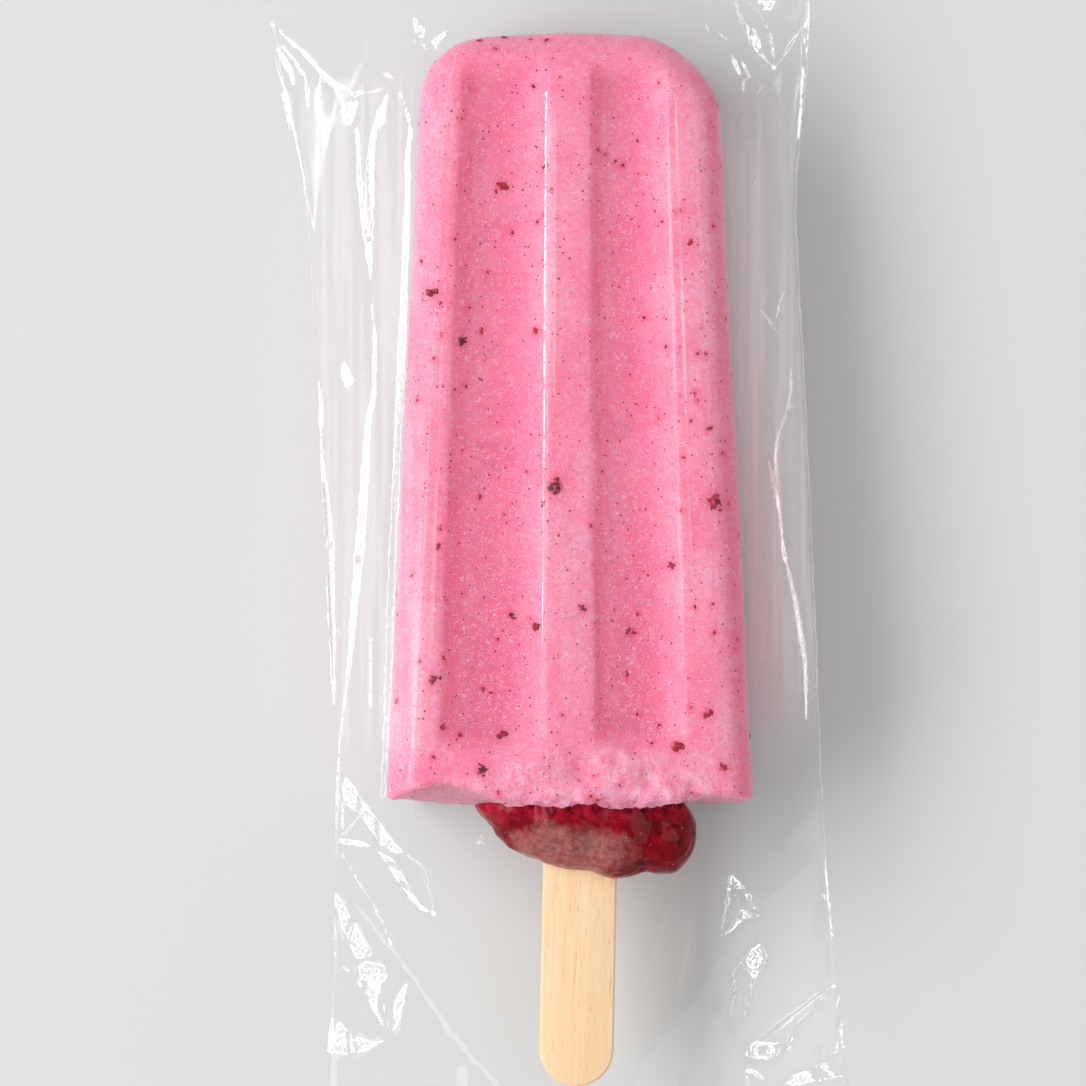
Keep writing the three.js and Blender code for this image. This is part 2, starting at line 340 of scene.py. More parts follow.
def thickness_at(y):
    return BASE_THICKNESS + (TIP_THICKNESS - BASE_THICKNESS) * (y - BASE_Y) / BODY_LENGTH


def middle_z_at(y):
    return BACK_Z + thickness_at(y) / 2


block_tip_y = TIP_Y - TIP_DOME
pop = add_block(
    "frozen_pop",
    centre=(BODY_AXIS_X, (BASE_Y + block_tip_y) / 2, BACK_Z + BASE_THICKNESS / 2),
    size=(2 * BASE_HALF_WIDTH, block_tip_y - BASE_Y, BASE_THICKNESS),
)
edit_where(pop, "VERT", lambda vertex: vertex.co.y > 0)
bpy.ops.transform.resize(
    value=(
        half_width_at(block_tip_y) / BASE_HALF_WIDTH,
        1,
        thickness_at(block_tip_y) / BASE_THICKNESS,
    ),
    center_override=(BODY_AXIS_X * MM, block_tip_y * MM, BACK_Z * MM),
)
leave_edit()
print("block, mm:", [round(v / MM, 1) for v in pop.dimensions])

# %% [markdown]
# The edges to bevel are found by the angle between their two faces and by where they lie. Each
# bevel makes new edges, so the angles are measured again before the next one.

# %% Round the block
CORNER_SEGMENTS, RIM_SEGMENTS, BASE_SEGMENTS = 12, 7, 3
RIM_ANGLE, BASE_ANGLE = 60, 40
AT_BASE = (BASE_Y + 0.01) * MM


def edge_angle(piece):
    """The angle between the two faces at each edge, in degrees, by edge index."""
    normals = {}
    for face in piece.data.polygons:
        for key in face.edge_keys:
            normals.setdefault(key, []).append(face.normal)
    return {
        edge.index: math.degrees(pair[0].angle(pair[1]))
        for edge in piece.data.edges
        if len(pair := normals[edge.key]) == 2
    }


def bevel_where(piece, rule, radius, segments):
    """Bevels the edges for which the rule holds, and says how many they are."""
    count = edit_where(piece, "EDGE", rule)
    bpy.ops.mesh.bevel(offset=radius * MM, segments=segments, affect="EDGES")
    leave_edit()
    return count


def ends_of(edge):
    return [pop.data.vertices[index].co for index in edge.vertices]


def is_at_corner(edge, side):
    return all(
        end.y > 0 and side * (end.x / MM - BODY_AXIS_X) > CORNER_FROM_AXIS for end in ends_of(edge)
    )


def is_at_base(edge):
    return all(end.y < AT_BASE for end in ends_of(edge))


for side, corner_radius in TIP_CORNERS.items():
    tip_edges = bevel_where(
        pop, lambda edge: is_at_corner(edge, side), corner_radius, CORNER_SEGMENTS
    )
angles = edge_angle(pop)
rim_edges = bevel_where(
    pop,
    lambda edge: angles.get(edge.index, 0) > RIM_ANGLE and not is_at_base(edge),
    RIM_ROUND,
    RIM_SEGMENTS,
)
angles = edge_angle(pop)
base_edges = bevel_where(
    pop,
    lambda edge: angles.get(edge.index, 0) > BASE_ANGLE and is_at_base(edge),
    BASE_ROUND,
    BASE_SEGMENTS,
)
print("edges rounded:", tip_edges, rim_edges, base_edges)

# %% [markdown]
# A modifier can be added and applied at once, so that the next step works on its result.

# %% Give the block an even skin


def modify(piece, kind, **settings):
    """Adds a modifier and applies it at once."""
    modifier = piece.modifiers.new(kind.lower(), kind)
    for name, value in settings.items():
        setattr(modifier, name, value)
    bpy.context.view_layer.objects.active = piece
    bpy.ops.object.modifier_apply(modifier=modifier.name)


modify(pop, "REMESH", mode="VOXEL", voxel_size=BODY_VOXEL * MM)
modify(pop, "SMOOTH", factor=0.5, iterations=4)
print("skin faces:", len(pop.data.polygons))

# %% [markdown]
# ## Flutes, domes and the broken base
#
# The flutes are sunk by moving points: each point of the front and the back goes inwards by a depth
# that depends on how far across and how far along it lies. The walls are steep and the floor is
# hollow, and both ends run out.

# %% Sink the flutes
# centre and half width, as shares of the body's half width
FLUTES = [(-0.435, 0.295), (0.385, 0.255)]
FLUTE_DEPTH = 2.0
FLUTE_FROM_TIP = 2.8
FLUTE_FROM_BASE = 5.5
FLUTE_RUN_OUT = 5.0
FLUTE_ROUNDNESS = 0.85
# where the painted shade on a flute's left wall lies and how wide it is, in shares of its half
# width
WALL_PLACE, WALL_WIDTH = -0.8, 0.2


def read_points(piece):
    """All points of the mesh in millimetres, one row each."""
    flat = np.empty(len(piece.data.vertices) * 3)
    piece.data.vertices.foreach_get("co", flat)
    return flat.reshape(-1, 3) / MM


def write_points(piece, points):
    piece.data.vertices.foreach_set("co", (points * MM).ravel())
    piece.data.update()


def smoothstep(value, low, high):
    share = np.clip((value - low) / (high - low), 0, 1)
    return share * share * (3 - 2 * share)


def band(value, centre, width):
    """1 at the centre, falling off on both sides like a bell."""
    return np.exp(-(((value - centre) / width) ** 2))


def dome(value, centre, half_width):
    """1 at the centre, falling in a curve to 0 at the half width, and 0 beyond."""
    return np.clip(1 - ((value - centre) / half_width) ** 2, 0, 1)


def body_share_at(x, y):
    """How far across the body a place lies, from -1 at its left side to 1 at its right."""
    return (x - BODY_AXIS_X) / half_width_at(y)


def flute_share(x, y):
    """How deep the flutes are at a point, from 0 to 1, and its painted shade by a left wall."""
    share = body_share_at(x, y)
    depth, wall = np.zeros_like(x), np.zeros_like(x)
    for centre, half_width in FLUTES:
        depth += dome(share, centre, half_width) ** FLUTE_ROUNDNESS
        wall += band((share - centre) / half_width, WALL_PLACE, WALL_WIDTH)
    run_out = smoothstep(TIP_Y - FLUTE_FROM_TIP - y, 0, FLUTE_RUN_OUT)
    run_out *= smoothstep(y - BASE_Y - FLUTE_FROM_BASE, 0, FLUTE_RUN_OUT)
    return depth * run_out, wall * run_out


points = read_points(pop)
x, y, z = points.T.copy()
middle = middle_z_at(y)
half_thickness = thickness_at(y) / 2
facing = (z - middle) / half_thickness
flute, wall = flute_share(x, y)
flute *= smoothstep(np.abs(facing), 0.5, 0.85)
wall *= smoothstep(facing, 0.4, 0.7)
points[:, 2] -= np.sign(facing) * FLUTE_DEPTH * flute
print("deepest flute, mm:", round(float(flute.max()) * FLUTE_DEPTH, 2))

# %% [markdown]
# The tip and the base are domed in the same way, by moving points along the body. At the base the
# front edge is drawn back in two shallow arches, and a frothy lip lies between them, where the
# yogurt foamed up round the stick before it froze.

# %% Shape both ends
BASE_DOME = 0.7
# centre, half width and height, in millimetres
ARCHES = [(-16.2, 6.6, 2.0), (18.2, 5.6, 1.1)]
FROTH_CENTRE = (3.0, -26.6)
FROTH_RADII = (14.5, 5.6)
FROTH_RISE = 0.35
FROTH_OVERHANG = 0.2


def oval(x, y, centre, radii):
    """0 at the centre of an oval, 1 on it, and more outside."""
    return ((x - centre[0]) / radii[0]) ** 2 + ((y - centre[1]) / radii[1]) ** 2


bulge = np.clip(1 - (body_share_at(x, y) ** 2 + facing**2), 0, 1)
points[:, 1] += TIP_DOME * bulge * smoothstep(y, TIP_Y - 6, TIP_Y - TIP_DOME)
near_base = 1 - smoothstep(y, BASE_Y, BASE_Y + 5)
points[:, 1] -= BASE_DOME * bulge * near_base
across = x - BODY_AXIS_X
arch = sum(height * dome(across, centre, half_width) for centre, half_width, height in ARCHES)
points[:, 1] += arch * smoothstep(facing, 0.1, 1.0) * (1 - smoothstep(y, BASE_Y, BASE_Y + 7))
froth_reach = oval(across, y, FROTH_CENTRE, FROTH_RADII)
froth = (1 - smoothstep(froth_reach, 0.35, 1.3)) * smoothstep(facing, 0.1, 0.7)
points[:, 2] += FROTH_RISE * froth
points[:, 1] += FROTH_OVERHANG * froth * near_base
write_points(pop, points)
print("points in the froth:", int((froth > 0.5).sum()))

# %% [markdown]
# The material will need to know where the flutes and the froth are, and where shade is painted: on
# the left wall of each flute, along the right rim and on the end face, which face away from the
# light. It also needs three cloudy patterns: a mottle, patches of frost, and bruises where fruit
# has coloured the yogurt. A pattern is made of waves: smooth random heights on a coarse grid. The
# slack film will use them too.

# %% Waves and clouds
def lerp(first, second, share):
    return first + (second - first) * share


WAVE_CELLS = 64
WAVE_ORIGIN = 80


def soft_waves(x, y, cell_x, cell_y, seed):
    """Smooth random heights from -1 to 1, with waves of the given size in millimetres."""
    heights = np.random.default_rng(seed).uniform(-1, 1, (WAVE_CELLS, WAVE_CELLS))
    u, v = (x + WAVE_ORIGIN) / cell_x, (y + WAVE_ORIGIN) / cell_y
    column, row = np.floor(u).astype(int), np.floor(v).astype(int)
    share_u, share_v = smoothstep(u - column, 0, 1), smoothstep(v - row, 0, 1)
    corner = [
        [heights[(column + i) % WAVE_CELLS, (row + j) % WAVE_CELLS] for j in (0, 1)]
        for i in (0, 1)
    ]
    return lerp(
        lerp(corner[0][0], corner[1][0], share_u),
        lerp(corner[0][1], corner[1][1], share_u),
        share_v,
    )


def cloudy(x, y, size, seed):
    """Soft waves of three sizes on top of each other, from -1 to 1."""
    return sum(
        share * soft_waves(x, y, size * part, size * part, seed + index)
        for index, (share, part) in enumerate([(0.55, 1.0), (0.3, 0.5), (0.15, 0.25)])
    )


print("clouds at the middle:", round(float(cloudy(np.zeros(1), np.zeros(1), 7.0, 41)[0]), 2))

# %% [markdown]
# All of it is stored as one number for each point. The clouds are drawn on x and y, which are
# shifted by the height, so that no streaks run down the sides.

# %% Store where things are


def store(piece, **fields):
    """Stores numbers for each point under their names, for the materials to read."""
    for name, values in fields.items():
        layer = piece.data.attributes.new(name, "FLOAT", "POINT")
        layer.data.foreach_set("value", np.asarray(values, dtype=np.float32))
        low, high = np.min(values), np.max(values)
        print(piece.name, name, "from", round(float(low), 2), "to", round(float(high), 2))


in_flute = np.clip(flute, 0, 1)
# painted shade along the right rim, where the side turns away from the light
turning = band(body_share_at(x, y), 0.95, 0.05)
spread_x, spread_y = x + 0.9 * z, y + 0.4 * z
bruise = smoothstep(cloudy(spread_x, spread_y, 3.4, 61), 0.12, 0.55)
store(
    pop,
    flute=in_flute,
    froth=froth,
    lower_flute=in_flute * (1 - smoothstep(y, -12, 25)),
    # painted shade on the flutes' left walls and along the right rim
    wall=np.clip(wall + 0.8 * turning * smoothstep(facing, 0.2, 0.6), 0, 1),
    # painted shade on the end face, which faces away from the light
    end_face=smoothstep(-(y - BASE_Y), -1.0, 0.3) * (1 - froth),
    mottle=smoothstep(cloudy(spread_x, spread_y, 7.0, 41), -0.4, 0.4),
    frost_patch=smoothstep(cloudy(spread_x, spread_y, 2.4, 51), 0.0, 0.6),
    bruise=bruise * (0.25 + 0.75 * in_flute),
)

# %% [markdown]
# ## A skin that has frozen
#
# Frozen yogurt isn't smooth. It has long shallow waves from the mould, small pits from air bubbles,
# and round the base a coarse froth. Displace modifiers with cloud textures push the skin in and
# out. A vertex group keeps the coarse froth where it belongs.

# %% Roughen the skin
LEAST_WEIGHT = 0.01

froth_group = pop.vertex_groups.new(name="froth")
edge_weight = np.clip(froth + 0.35 * near_base, 0, 1)
for index in np.nonzero(edge_weight > LEAST_WEIGHT)[0]:
    froth_group.add([int(index)], float(edge_weight[index]), "REPLACE")


def roughen(piece, name, size, strength, depth=2, group=""):
    """Pushes the skin along its normals by a cloud texture, by strength in millimetres."""
    clouds = bpy.data.textures.new(name, "CLOUDS")
    clouds.noise_scale = size * MM
    clouds.noise_depth = depth
    modify(
        piece,
        "DISPLACE",
        texture=clouds,
        texture_coords="LOCAL",
        strength=strength * MM,
        mid_level=0.5,
        vertex_group=group,
    )


def shade(piece, angle=None):
    """Smooth shading, all over or only across edges that turn less than an angle in degrees."""
    choose(piece)
    if angle is None:
        bpy.ops.object.shade_smooth()
    else:
        bpy.ops.object.shade_smooth_by_angle(angle=math.radians(angle))


roughen(pop, "mould_waves", size=14.0, strength=0.5)
roughen(pop, "small_pits", size=1.6, strength=0.16, depth=3)
roughen(pop, "froth_lumps", size=4.2, strength=2.4, depth=3, group="froth")
roughen(pop, "froth_grain", size=1.2, strength=1.3, depth=3, group="froth")
shade(pop)
pop_tree = BVHTree.FromObject(pop, bpy.context.evaluated_depsgraph_get())
print("body, mm:", [round(v / MM, 1) for v in pop.dimensions])

# %% [markdown]
# ## Fruit in the yogurt
#
# Bits of fruit skin and seeds show at the surface. A few large ones are listed one by one and the
# many small ones are scattered with a seeded draw. Each bit is a ball with few faces, pressed flat,
# dented, and sunk most of the way into the skin. All of them are joined into one mesh. Each bit
# carries a number, its tone, from bright fruit to dark seed, that its colour is read from.

# %% Where the large bits lie
# x, y, size in millimetres and tone
LARGE_BITS = [
    (-7.7, 51.2, 1.5, 0.15),
    (-16.8, 37.3, 1.5, 0.55),
    (-12.9, 31.1, 1.2, 0.9),
    (-2.2, 53.6, 0.9, 0.8),
    (16.6, 43.8, 1.0, 0.1),
    (-0.9, 12.4, 2.3, 0.8),
    (19.6, 10.4, 1.7, 0.3),
    (18.9, 19.8, 0.9, 0.1),
    (-10.4, 32.4, 0.8, 0.1),
    (-3.4, 32.4, 0.8, 0.1),
    (-6.5, -4.3, 0.9, 1.0),
    (-3.3, -5.6, 1.2, 0.6),
    (-16.5, -12.5, 1.1, 0.6),
    (-21.3, -15.3, 0.8, 0.15),
    (-15.9, 4.6, 0.8, 0.1),
    (14.0, 2.2, 1.0, 0.4),
    (18.6, -17.0, 1.3, 0.2),
    (14.8, -21.1, 1.5, 0.2),
    (20.8, -23.8, 1.1, 0.25),
    (-10.3, -24.1, 1.1, 0.9),
    (-7.8, -19.5, 1.2, 0.35),
    (-10.7, 70.1, 0.9, 0.5),
    (-7.4, 70.5, 1.0, 0.6),
    (-8.6, 68.9, 0.7, 0.3),
    (-2.0, 70.1, 0.8, 0.5),
    (8.6, -6.2, 0.8, 0.6),
    (2.6, -3.3, 0.9, 0.7),
    (-15.4, -18.6, 0.7, 0.2),
    (-13.1, -19.6, 0.6, 0.2),
]
print("large bits:", len(LARGE_BITS))

# %% Make one bit
BIT_DENT = 0.22
BIT_FLATNESS = 0.42

rng = np.random.default_rng(31)
begin_piece()


def ball_shape(subdivisions):
    """Points in millimetres and faces of a ball that is one millimetre across."""
    bpy.ops.mesh.primitive_ico_sphere_add(subdivisions=subdivisions, radius=0.5 * MM)
    ball = bpy.context.object
    points = read_points(ball)
    faces = np.array([face.vertices[:] for face in ball.data.polygons])
    bpy.data.objects.remove(ball)
    return points, faces


large_ball, flake_ball, small_ball = ball_shape(3), ball_shape(2), ball_shape(1)


def turned_frame(normal, angle):
    """Three axes: two across the skin, turned by an angle, and the one out of it."""
    first = normal.orthogonal().normalized()
    second = normal.cross(first)
    across = first * math.cos(angle) + second * math.sin(angle)
    along = normal.cross(across)
    return np.array([across, along, normal])


bit_points, bit_faces, tones, halo_places = [], [], [], []


def add_bit(ball, place, normal, size, tone, sink):
    """One bit: the ball made long, flat and dented, and sunk into the skin by its sink."""
    points, faces = ball
    dents = sum(
        np.cos(points @ rng.normal(0, 8.0, 3) + rng.random() * math.tau) for _ in range(4)
    )
    shape = points * (1 + BIT_DENT * dents[:, None])
    shape = shape * size * np.array([1.0, 0.5 + 0.4 * rng.random(), BIT_FLATNESS])
    centre = np.array(place - normal * sink * MM) / MM
    shape = shape @ turned_frame(normal, rng.random() * math.tau) + centre
    bit_faces.append(faces + sum(len(done) for done in bit_points))
    bit_points.append(shape)
    tones.extend([tone] * len(points))


print("balls, faces:", [len(faces) for _, faces in (large_ball, flake_ball, small_ball)])

# %% [markdown]
# A ray is cast straight down at the place of each large bit, to find the skin there. Three flakes
# lie round each. The small bits are drawn from the faces of the skin, by their area.

# %% Lay the fruit bits
SMALL_BIT_COUNT = 1300
FLAKES_EACH = 3
FLAKE_SPREAD = 0.27
LARGE_SINK, FLAKE_SINK, SMALL_SINK = 0.08, 0.06, 0.03
LEAST_STAINING = 0.45
TALLEST = 60.0
DOWN = Vector((0, 0, -1))

for bit_x, bit_y, size, tone in LARGE_BITS:
    place, normal, _, _ = pop_tree.ray_cast(Vector((bit_x * MM, bit_y * MM, TALLEST * MM)), DOWN)
    if place is None:
        continue
    add_bit(large_ball, place, normal, size, tone, LARGE_SINK)
    halo_places.append((*(place / MM), size))
    for _ in range(FLAKES_EACH):
        shift = Vector(rng.normal(0, FLAKE_SPREAD * size, 2)).to_3d() * MM
        flake_place, flake_normal, _, _ = pop_tree.ray_cast(place + shift - DOWN * MM, DOWN)
        if flake_place is not None:
            flake_size = (0.25 + 0.3 * rng.random()) * size
            add_bit(flake_ball, flake_place, flake_normal, flake_size, tone, FLAKE_SINK)

faces = pop.data.polygons
areas = np.empty(len(faces))
faces.foreach_get("area", areas)
for index in rng.choice(len(faces), SMALL_BIT_COUNT, p=areas / areas.sum()):
    face = faces[int(index)]
    size = 0.2 + 0.45 * rng.random() ** 3.2
    tone = min(1.0, max(0.0, rng.normal(0.1, 0.22)))
    add_bit(small_ball, face.center, face.normal, size, tone, SMALL_SINK)
    if size > LEAST_STAINING:
        halo_places.append((*(face.center / MM), size))

bit_mesh = bpy.data.meshes.new("fruit_bits")
bit_mesh.from_pydata(
    (np.concatenate(bit_points) * MM).tolist(), [], np.concatenate(bit_faces).tolist()
)
fruit_bits = bpy.data.objects.new("fruit_bits", bit_mesh)
bpy.context.collection.objects.link(fruit_bits)
store(fruit_bits, tone=tones)
shade(fruit_bits)
print("fruit bits:", len(bit_points), "faces:", len(bit_mesh.polygons))

# %% [markdown]
# Round each bit the yogurt is stained a deeper pink. Each point of the body stores how close the
# nearest bits are, and the material mixes the stain in by that number.

# %% Store the stains
HALO_REACH = 1.2

skin = read_points(pop)
stain = np.zeros(len(skin))
for halo_x, halo_y, halo_z, size in halo_places:
    offset = skin - np.array([halo_x, halo_y, halo_z])
    reach = HALO_REACH * size * 0.5 + 0.2
    stain += np.exp(-(offset**2).sum(axis=1) / reach**2)
store(pop, stain=np.clip(stain, 0, 1))
print("points with a stain:", int((stain > 0.1).sum()))

# %% [markdown]
# ## Frozen yogurt, as a material
#
# Light goes a little way into frozen yogurt and comes out again, so the shader uses subsurface
# scattering, with red reaching furthest. The pink is mottled, and paler where frost has formed.
# Shade is painted into it as a deeper pink: in the flutes, where light bounces from wall to wall,
# deeper still on the left wall of each flute and along the right rim, and as a dull pink on the end
# face. Tiny dots stand for ground fruit skin, and short curls, where a smooth noise crosses a
# level, for strands of fruit and ice. Light that the yogurt throws on the floor is made paler than
# the yogurt, because the film and the floor of a real studio send back white light too.
#
# Ice crystals are used on the yogurt and on the dark fruit, so they are a node group. It puts out a
# mask of the crystals and the height of a fine grain for the bump.
#
# A few helpers keep the node code short. Most add one node and return its output, so that they
# can be nested like a formula.

# %% Noise, levels and dots


def noise(tree, place, scale, detail=2.0, roughness=0.5, distortion=0.0):
    return add_node(
        tree,
        "ShaderNodeTexNoise",
        {
            "Vector": place,
            "Scale": scale,
            "Detail": detail,
            "Roughness": roughness,
            "Distortion": distortion,
        },
    ).outputs["Fac"]


def remap(tree, value, low, high, to_low=0.0, to_high=1.0):
    return add_node(
        tree,
        "ShaderNodeMapRange",
        {"Value": value, "From Min": low, "From Max": high, "To Min": to_low, "To Max": to_high},
    ).outputs["Result"]


def maths(tree, operation, first, second):
    return add_node(
        tree, "ShaderNodeMath", {0: first, 1: second}, operation=operation
    ).outputs[0]


def times(tree, first, second):
    return maths(tree, "MULTIPLY", first, second)


def plus(tree, first, second):
    return maths(tree, "ADD", first, second)


def dots(tree, place, scale, radius, kept):
    """Round dots, one in some of the cells of a Voronoi pattern: a mask, and a number for each."""
    cells = add_node(tree, "ShaderNodeTexVoronoi", {"Vector": place, "Scale": scale})
    split = add_node(tree, "ShaderNodeSeparateColor", {0: cells.outputs["Color"]})
    chosen = maths(tree, "LESS_THAN", split.outputs[0], kept)
    size = remap(tree, split.outputs[1], 0.0, 1.0, 0.45 * radius * scale, radius * scale)
    near = maths(tree, "LESS_THAN", cells.outputs["Distance"], size)
    return times(tree, near, chosen), split.outputs[2]


# %% Build the ice crystal group
crystals = bpy.data.node_groups.new("ice_crystals", "ShaderNodeTree")
for socket_name, in_out, kind in (
    ("Place", "INPUT", "NodeSocketVector"),
    ("Amount", "INPUT", "NodeSocketFloat"),
    ("Mask", "OUTPUT", "NodeSocketFloat"),
    ("Height", "OUTPUT", "NodeSocketFloat"),
):
    crystals.interface.new_socket(socket_name, in_out=in_out, socket_type=kind)
group_in = crystals.nodes.new("NodeGroupInput")
crystal_dots, _ = dots(crystals, group_in.outputs["Place"], scale=1.7, radius=0.1, kept=0.5)
crystal_mask = times(crystals, crystal_dots, group_in.outputs["Amount"])
grain_height = noise(crystals, group_in.outputs["Place"], 1.6, 2.0, 0.7)
add_node(crystals, "NodeGroupOutput", {"Mask": crystal_mask, "Height": grain_height})
print("ice crystal group:", len(crystals.nodes), "nodes")

# %% [markdown]
# The yogurt's colour is built up from broad to fine. First come the parts that were stored for each
# point: the mottle, the painted shade in the flutes and on their walls, and the bruises.

# %% Colour the yogurt
YOGURT_PALE = (1.0, 0.41, 0.56, 1.0)
YOGURT_PINK = (1.0, 0.30, 0.46, 1.0)
YOGURT_DEEP = (1.0, 0.17, 0.32, 1.0)
# painted shade: a deeper pink for the hollows of the flutes
YOGURT_HOLLOW = (0.86, 0.165, 0.31, 1.0)
# painted shade: a deep pink for the flutes' left walls and the right rim
YOGURT_WALL = (1.0, 0.10, 0.25, 1.0)
YOGURT_LOW = (0.70, 0.165, 0.29, 1.0)
YOGURT_BRUISE = (0.62, 0.19, 0.31, 1.0)
YOGURT_STAIN = (0.80, 0.05, 0.16, 1.0)
YOGURT_FROST = (0.95, 0.62, 0.70, 1.0)
# painted shade for the end face
YOGURT_FACE = (0.62, 0.27, 0.33, 1.0)
YOGURT_CURL = (1.0, 0.60, 0.72, 1.0)
YOGURT_BOUNCE = (0.62, 0.52, 0.55, 1.0)
DOT_RED = (0.56, 0.005, 0.07, 1.0)
DOT_DARK = (0.36, 0.004, 0.045, 1.0)


def object_millimetres(tree):
    """Object coordinates in millimetres."""
    place = add_node(tree, "ShaderNodeTexCoord").outputs["Object"]
    return add_node(
        tree, "ShaderNodeVectorMath", {0: place, "Scale": 1 / MM}, operation="SCALE"
    ).outputs["Vector"]


def stored(tree, name):
    return add_node(tree, "ShaderNodeAttribute", attribute_name=name).outputs["Fac"]


def mix_colour(tree, share, first, second):
    made = add_node(
        tree,
        "ShaderNodeMix",
        {"Factor": share, 6: first, 7: second},
        data_type="RGBA",
        clamp_factor=True,
    )
    return made.outputs[2]


def mix_stored(tree, colour, name, share, tint):
    """Mixes a tint into the colour by a share of a stored number."""
    return mix_colour(tree, times(tree, stored(tree, name), share), colour, tint)


yogurt_material, tree = start_material("frozen_yogurt")
place = object_millimetres(tree)
colour = mix_colour(tree, stored(tree, "mottle"), YOGURT_PINK, YOGURT_PALE)
# painted shade: the hollows of the flutes are a deeper, darker pink
colour = mix_stored(tree, colour, "flute", 0.6, YOGURT_HOLLOW)
colour = mix_stored(tree, colour, "lower_flute", 0.6, YOGURT_LOW)
# painted shade: a deeper pink on the left wall of each flute and along the right rim
colour = mix_stored(tree, colour, "wall", 0.62, YOGURT_WALL)
colour = mix_stored(tree, colour, "bruise", 0.42, YOGURT_BRUISE)
print("yogurt, broad colour:", len(tree.nodes), "nodes")

# %% [markdown]
# Then come a fine grain, frost, the end face, the stains round the fruit, and the curls. A curl is
# where a smooth noise is close to a level, and a broader noise says in which patches it shows.

# %% Add the frost and the curls
# the level that the noise crosses, from where to where the patches run, strength and tint
CURLS = (
    (0.5, 0.36, 0.50, 0.6, YOGURT_CURL),
    (0.43, 0.58, 0.46, 0.8, YOGURT_DEEP),
    (0.57, 0.42, 0.52, 0.8, YOGURT_DEEP),
)


def from_level(tree, value, level):
    """How far a value lies from a level, on either side."""
    return maths(tree, "ABSOLUTE", maths(tree, "SUBTRACT", value, level), 0.0)


grain = remap(tree, noise(tree, place, 2.3, 2.0, 0.8), 0.40, 0.70, 0.0, 0.6)
colour = mix_colour(tree, grain, colour, YOGURT_DEEP)
frost_amount = plus(tree, times(tree, stored(tree, "froth"), 0.35), 0.12)
frost = times(tree, stored(tree, "frost_patch"), frost_amount)
colour = mix_colour(tree, frost, colour, YOGURT_FROST)
# painted shade: the end face, turned away from the light, is a dull pink
colour = mix_stored(tree, colour, "end_face", 0.85, YOGURT_FACE)
colour = mix_stored(tree, colour, "stain", 0.7, YOGURT_STAIN)
curl_field = noise(tree, place, 2.3, 0.0, 0.5)
curl_patch = noise(tree, place, 1.1, 0.0, 0.5)
for level, patch_low, patch_high, share, tint in CURLS:
    curls = remap(tree, from_level(tree, curl_field, level), 0.014, 0.045, share, 0.0)
    in_patch = remap(tree, curl_patch, patch_low, patch_high)
    colour = mix_colour(tree, times(tree, curls, in_patch), colour, tint)
print("yogurt, with curls:", len(tree.nodes), "nodes")

# %% [markdown]
# Last come the tiny dots and the ice crystals. The froth has up to five times the relief of the
# rest.

# %% Add dots and crystals, and finish the yogurt


def ice_on(tree, place, amount):
    """Places the group in a material: the mask of its crystals and the height of its grain."""
    ice = add_node(
        tree, "ShaderNodeGroup", {"Place": place, "Amount": amount}, node_tree=crystals
    )
    return ice.outputs["Mask"], ice.outputs["Height"]


def bump_normal(tree, height, strength, depth):
    """The normal of a skin with a fine relief, which is a depth in millimetres."""
    return add_node(
        tree, "ShaderNodeBump", {"Strength": strength, "Distance": depth * MM, "Height": height}
    ).outputs["Normal"]


ground_skin, skin_draw = dots(tree, place, scale=1.15, radius=0.15, kept=0.75)
skin_tint = mix_colour(tree, skin_draw, DOT_RED, DOT_DARK)
colour = mix_colour(tree, times(tree, ground_skin, 0.95), colour, skin_tint)
ice_mask, ice_height = ice_on(tree, place, 0.5)
colour = mix_colour(tree, ice_mask, colour, YOGURT_FROST)
froth_relief = plus(tree, times(tree, stored(tree, "froth"), 4.0), 1.0)
relief = times(tree, ice_height, froth_relief)
bounced = add_node(tree, "ShaderNodeLightPath").outputs["Is Diffuse Ray"]
colour = mix_colour(tree, times(tree, bounced, 0.8), colour, YOGURT_BOUNCE)
coat(
    pop,
    yogurt_material,
    {
        "Base Color": colour,
        "Roughness": remap(tree, curl_patch, 0.3, 0.7, 0.38, 0.55),
        "Normal": bump_normal(tree, relief, strength=0.5, depth=0.12),
        "Subsurface Weight": 0.9,
        "Subsurface Radius": (1.0, 0.16, 0.22),
        "Subsurface Scale": 4.2 * MM,
        "IOR": 1.35,
    },
)

# %% [markdown]
# The fruit bits run from bright berry skin to near black seeds, by their stored tone and a noise.
# Some of their surface is coated with yogurt.

# %% Build the fruit bit material
BIT_BRIGHT = (0.46, 0.003, 0.038, 1.0)
BIT_DARK = (0.10, 0.010, 0.018, 1.0)

bit_material, tree = start_material("fruit_bits")
place = object_millimetres(tree)
varied = remap(tree, noise(tree, place, 2.6, 3.0), 0.3, 0.7, -0.3, 0.3)
varied = plus(tree, stored(tree, "tone"), varied)
colour = mix_colour(tree, varied, BIT_BRIGHT, BIT_DARK)
coated = remap(tree, noise(tree, place, 3.5, 2.0), 0.5, 0.8, 0.0, 0.5)
colour = mix_colour(tree, coated, colour, YOGURT_PINK)
coat(
    fruit_bits,
    bit_material,
    {
        "Base Color": colour,
        "Normal": bump_normal(tree, noise(tree, place, 4.0, 3.0), strength=0.5, depth=0.1),
        "Roughness": 0.4,
        "Specular IOR Level": 0.25,
    },
)

# %% [markdown]
# ## The lump of frozen fruit
#
# Fruit and its juice gathered round the stick and froze over the base. It is a soft dark lump with
# a round berry on its right. Soft lumps are easiest to build from balls: each is scaled and placed,
# all are joined, and a voxel remesh melts them into one skin. The part inside the body is cut off.

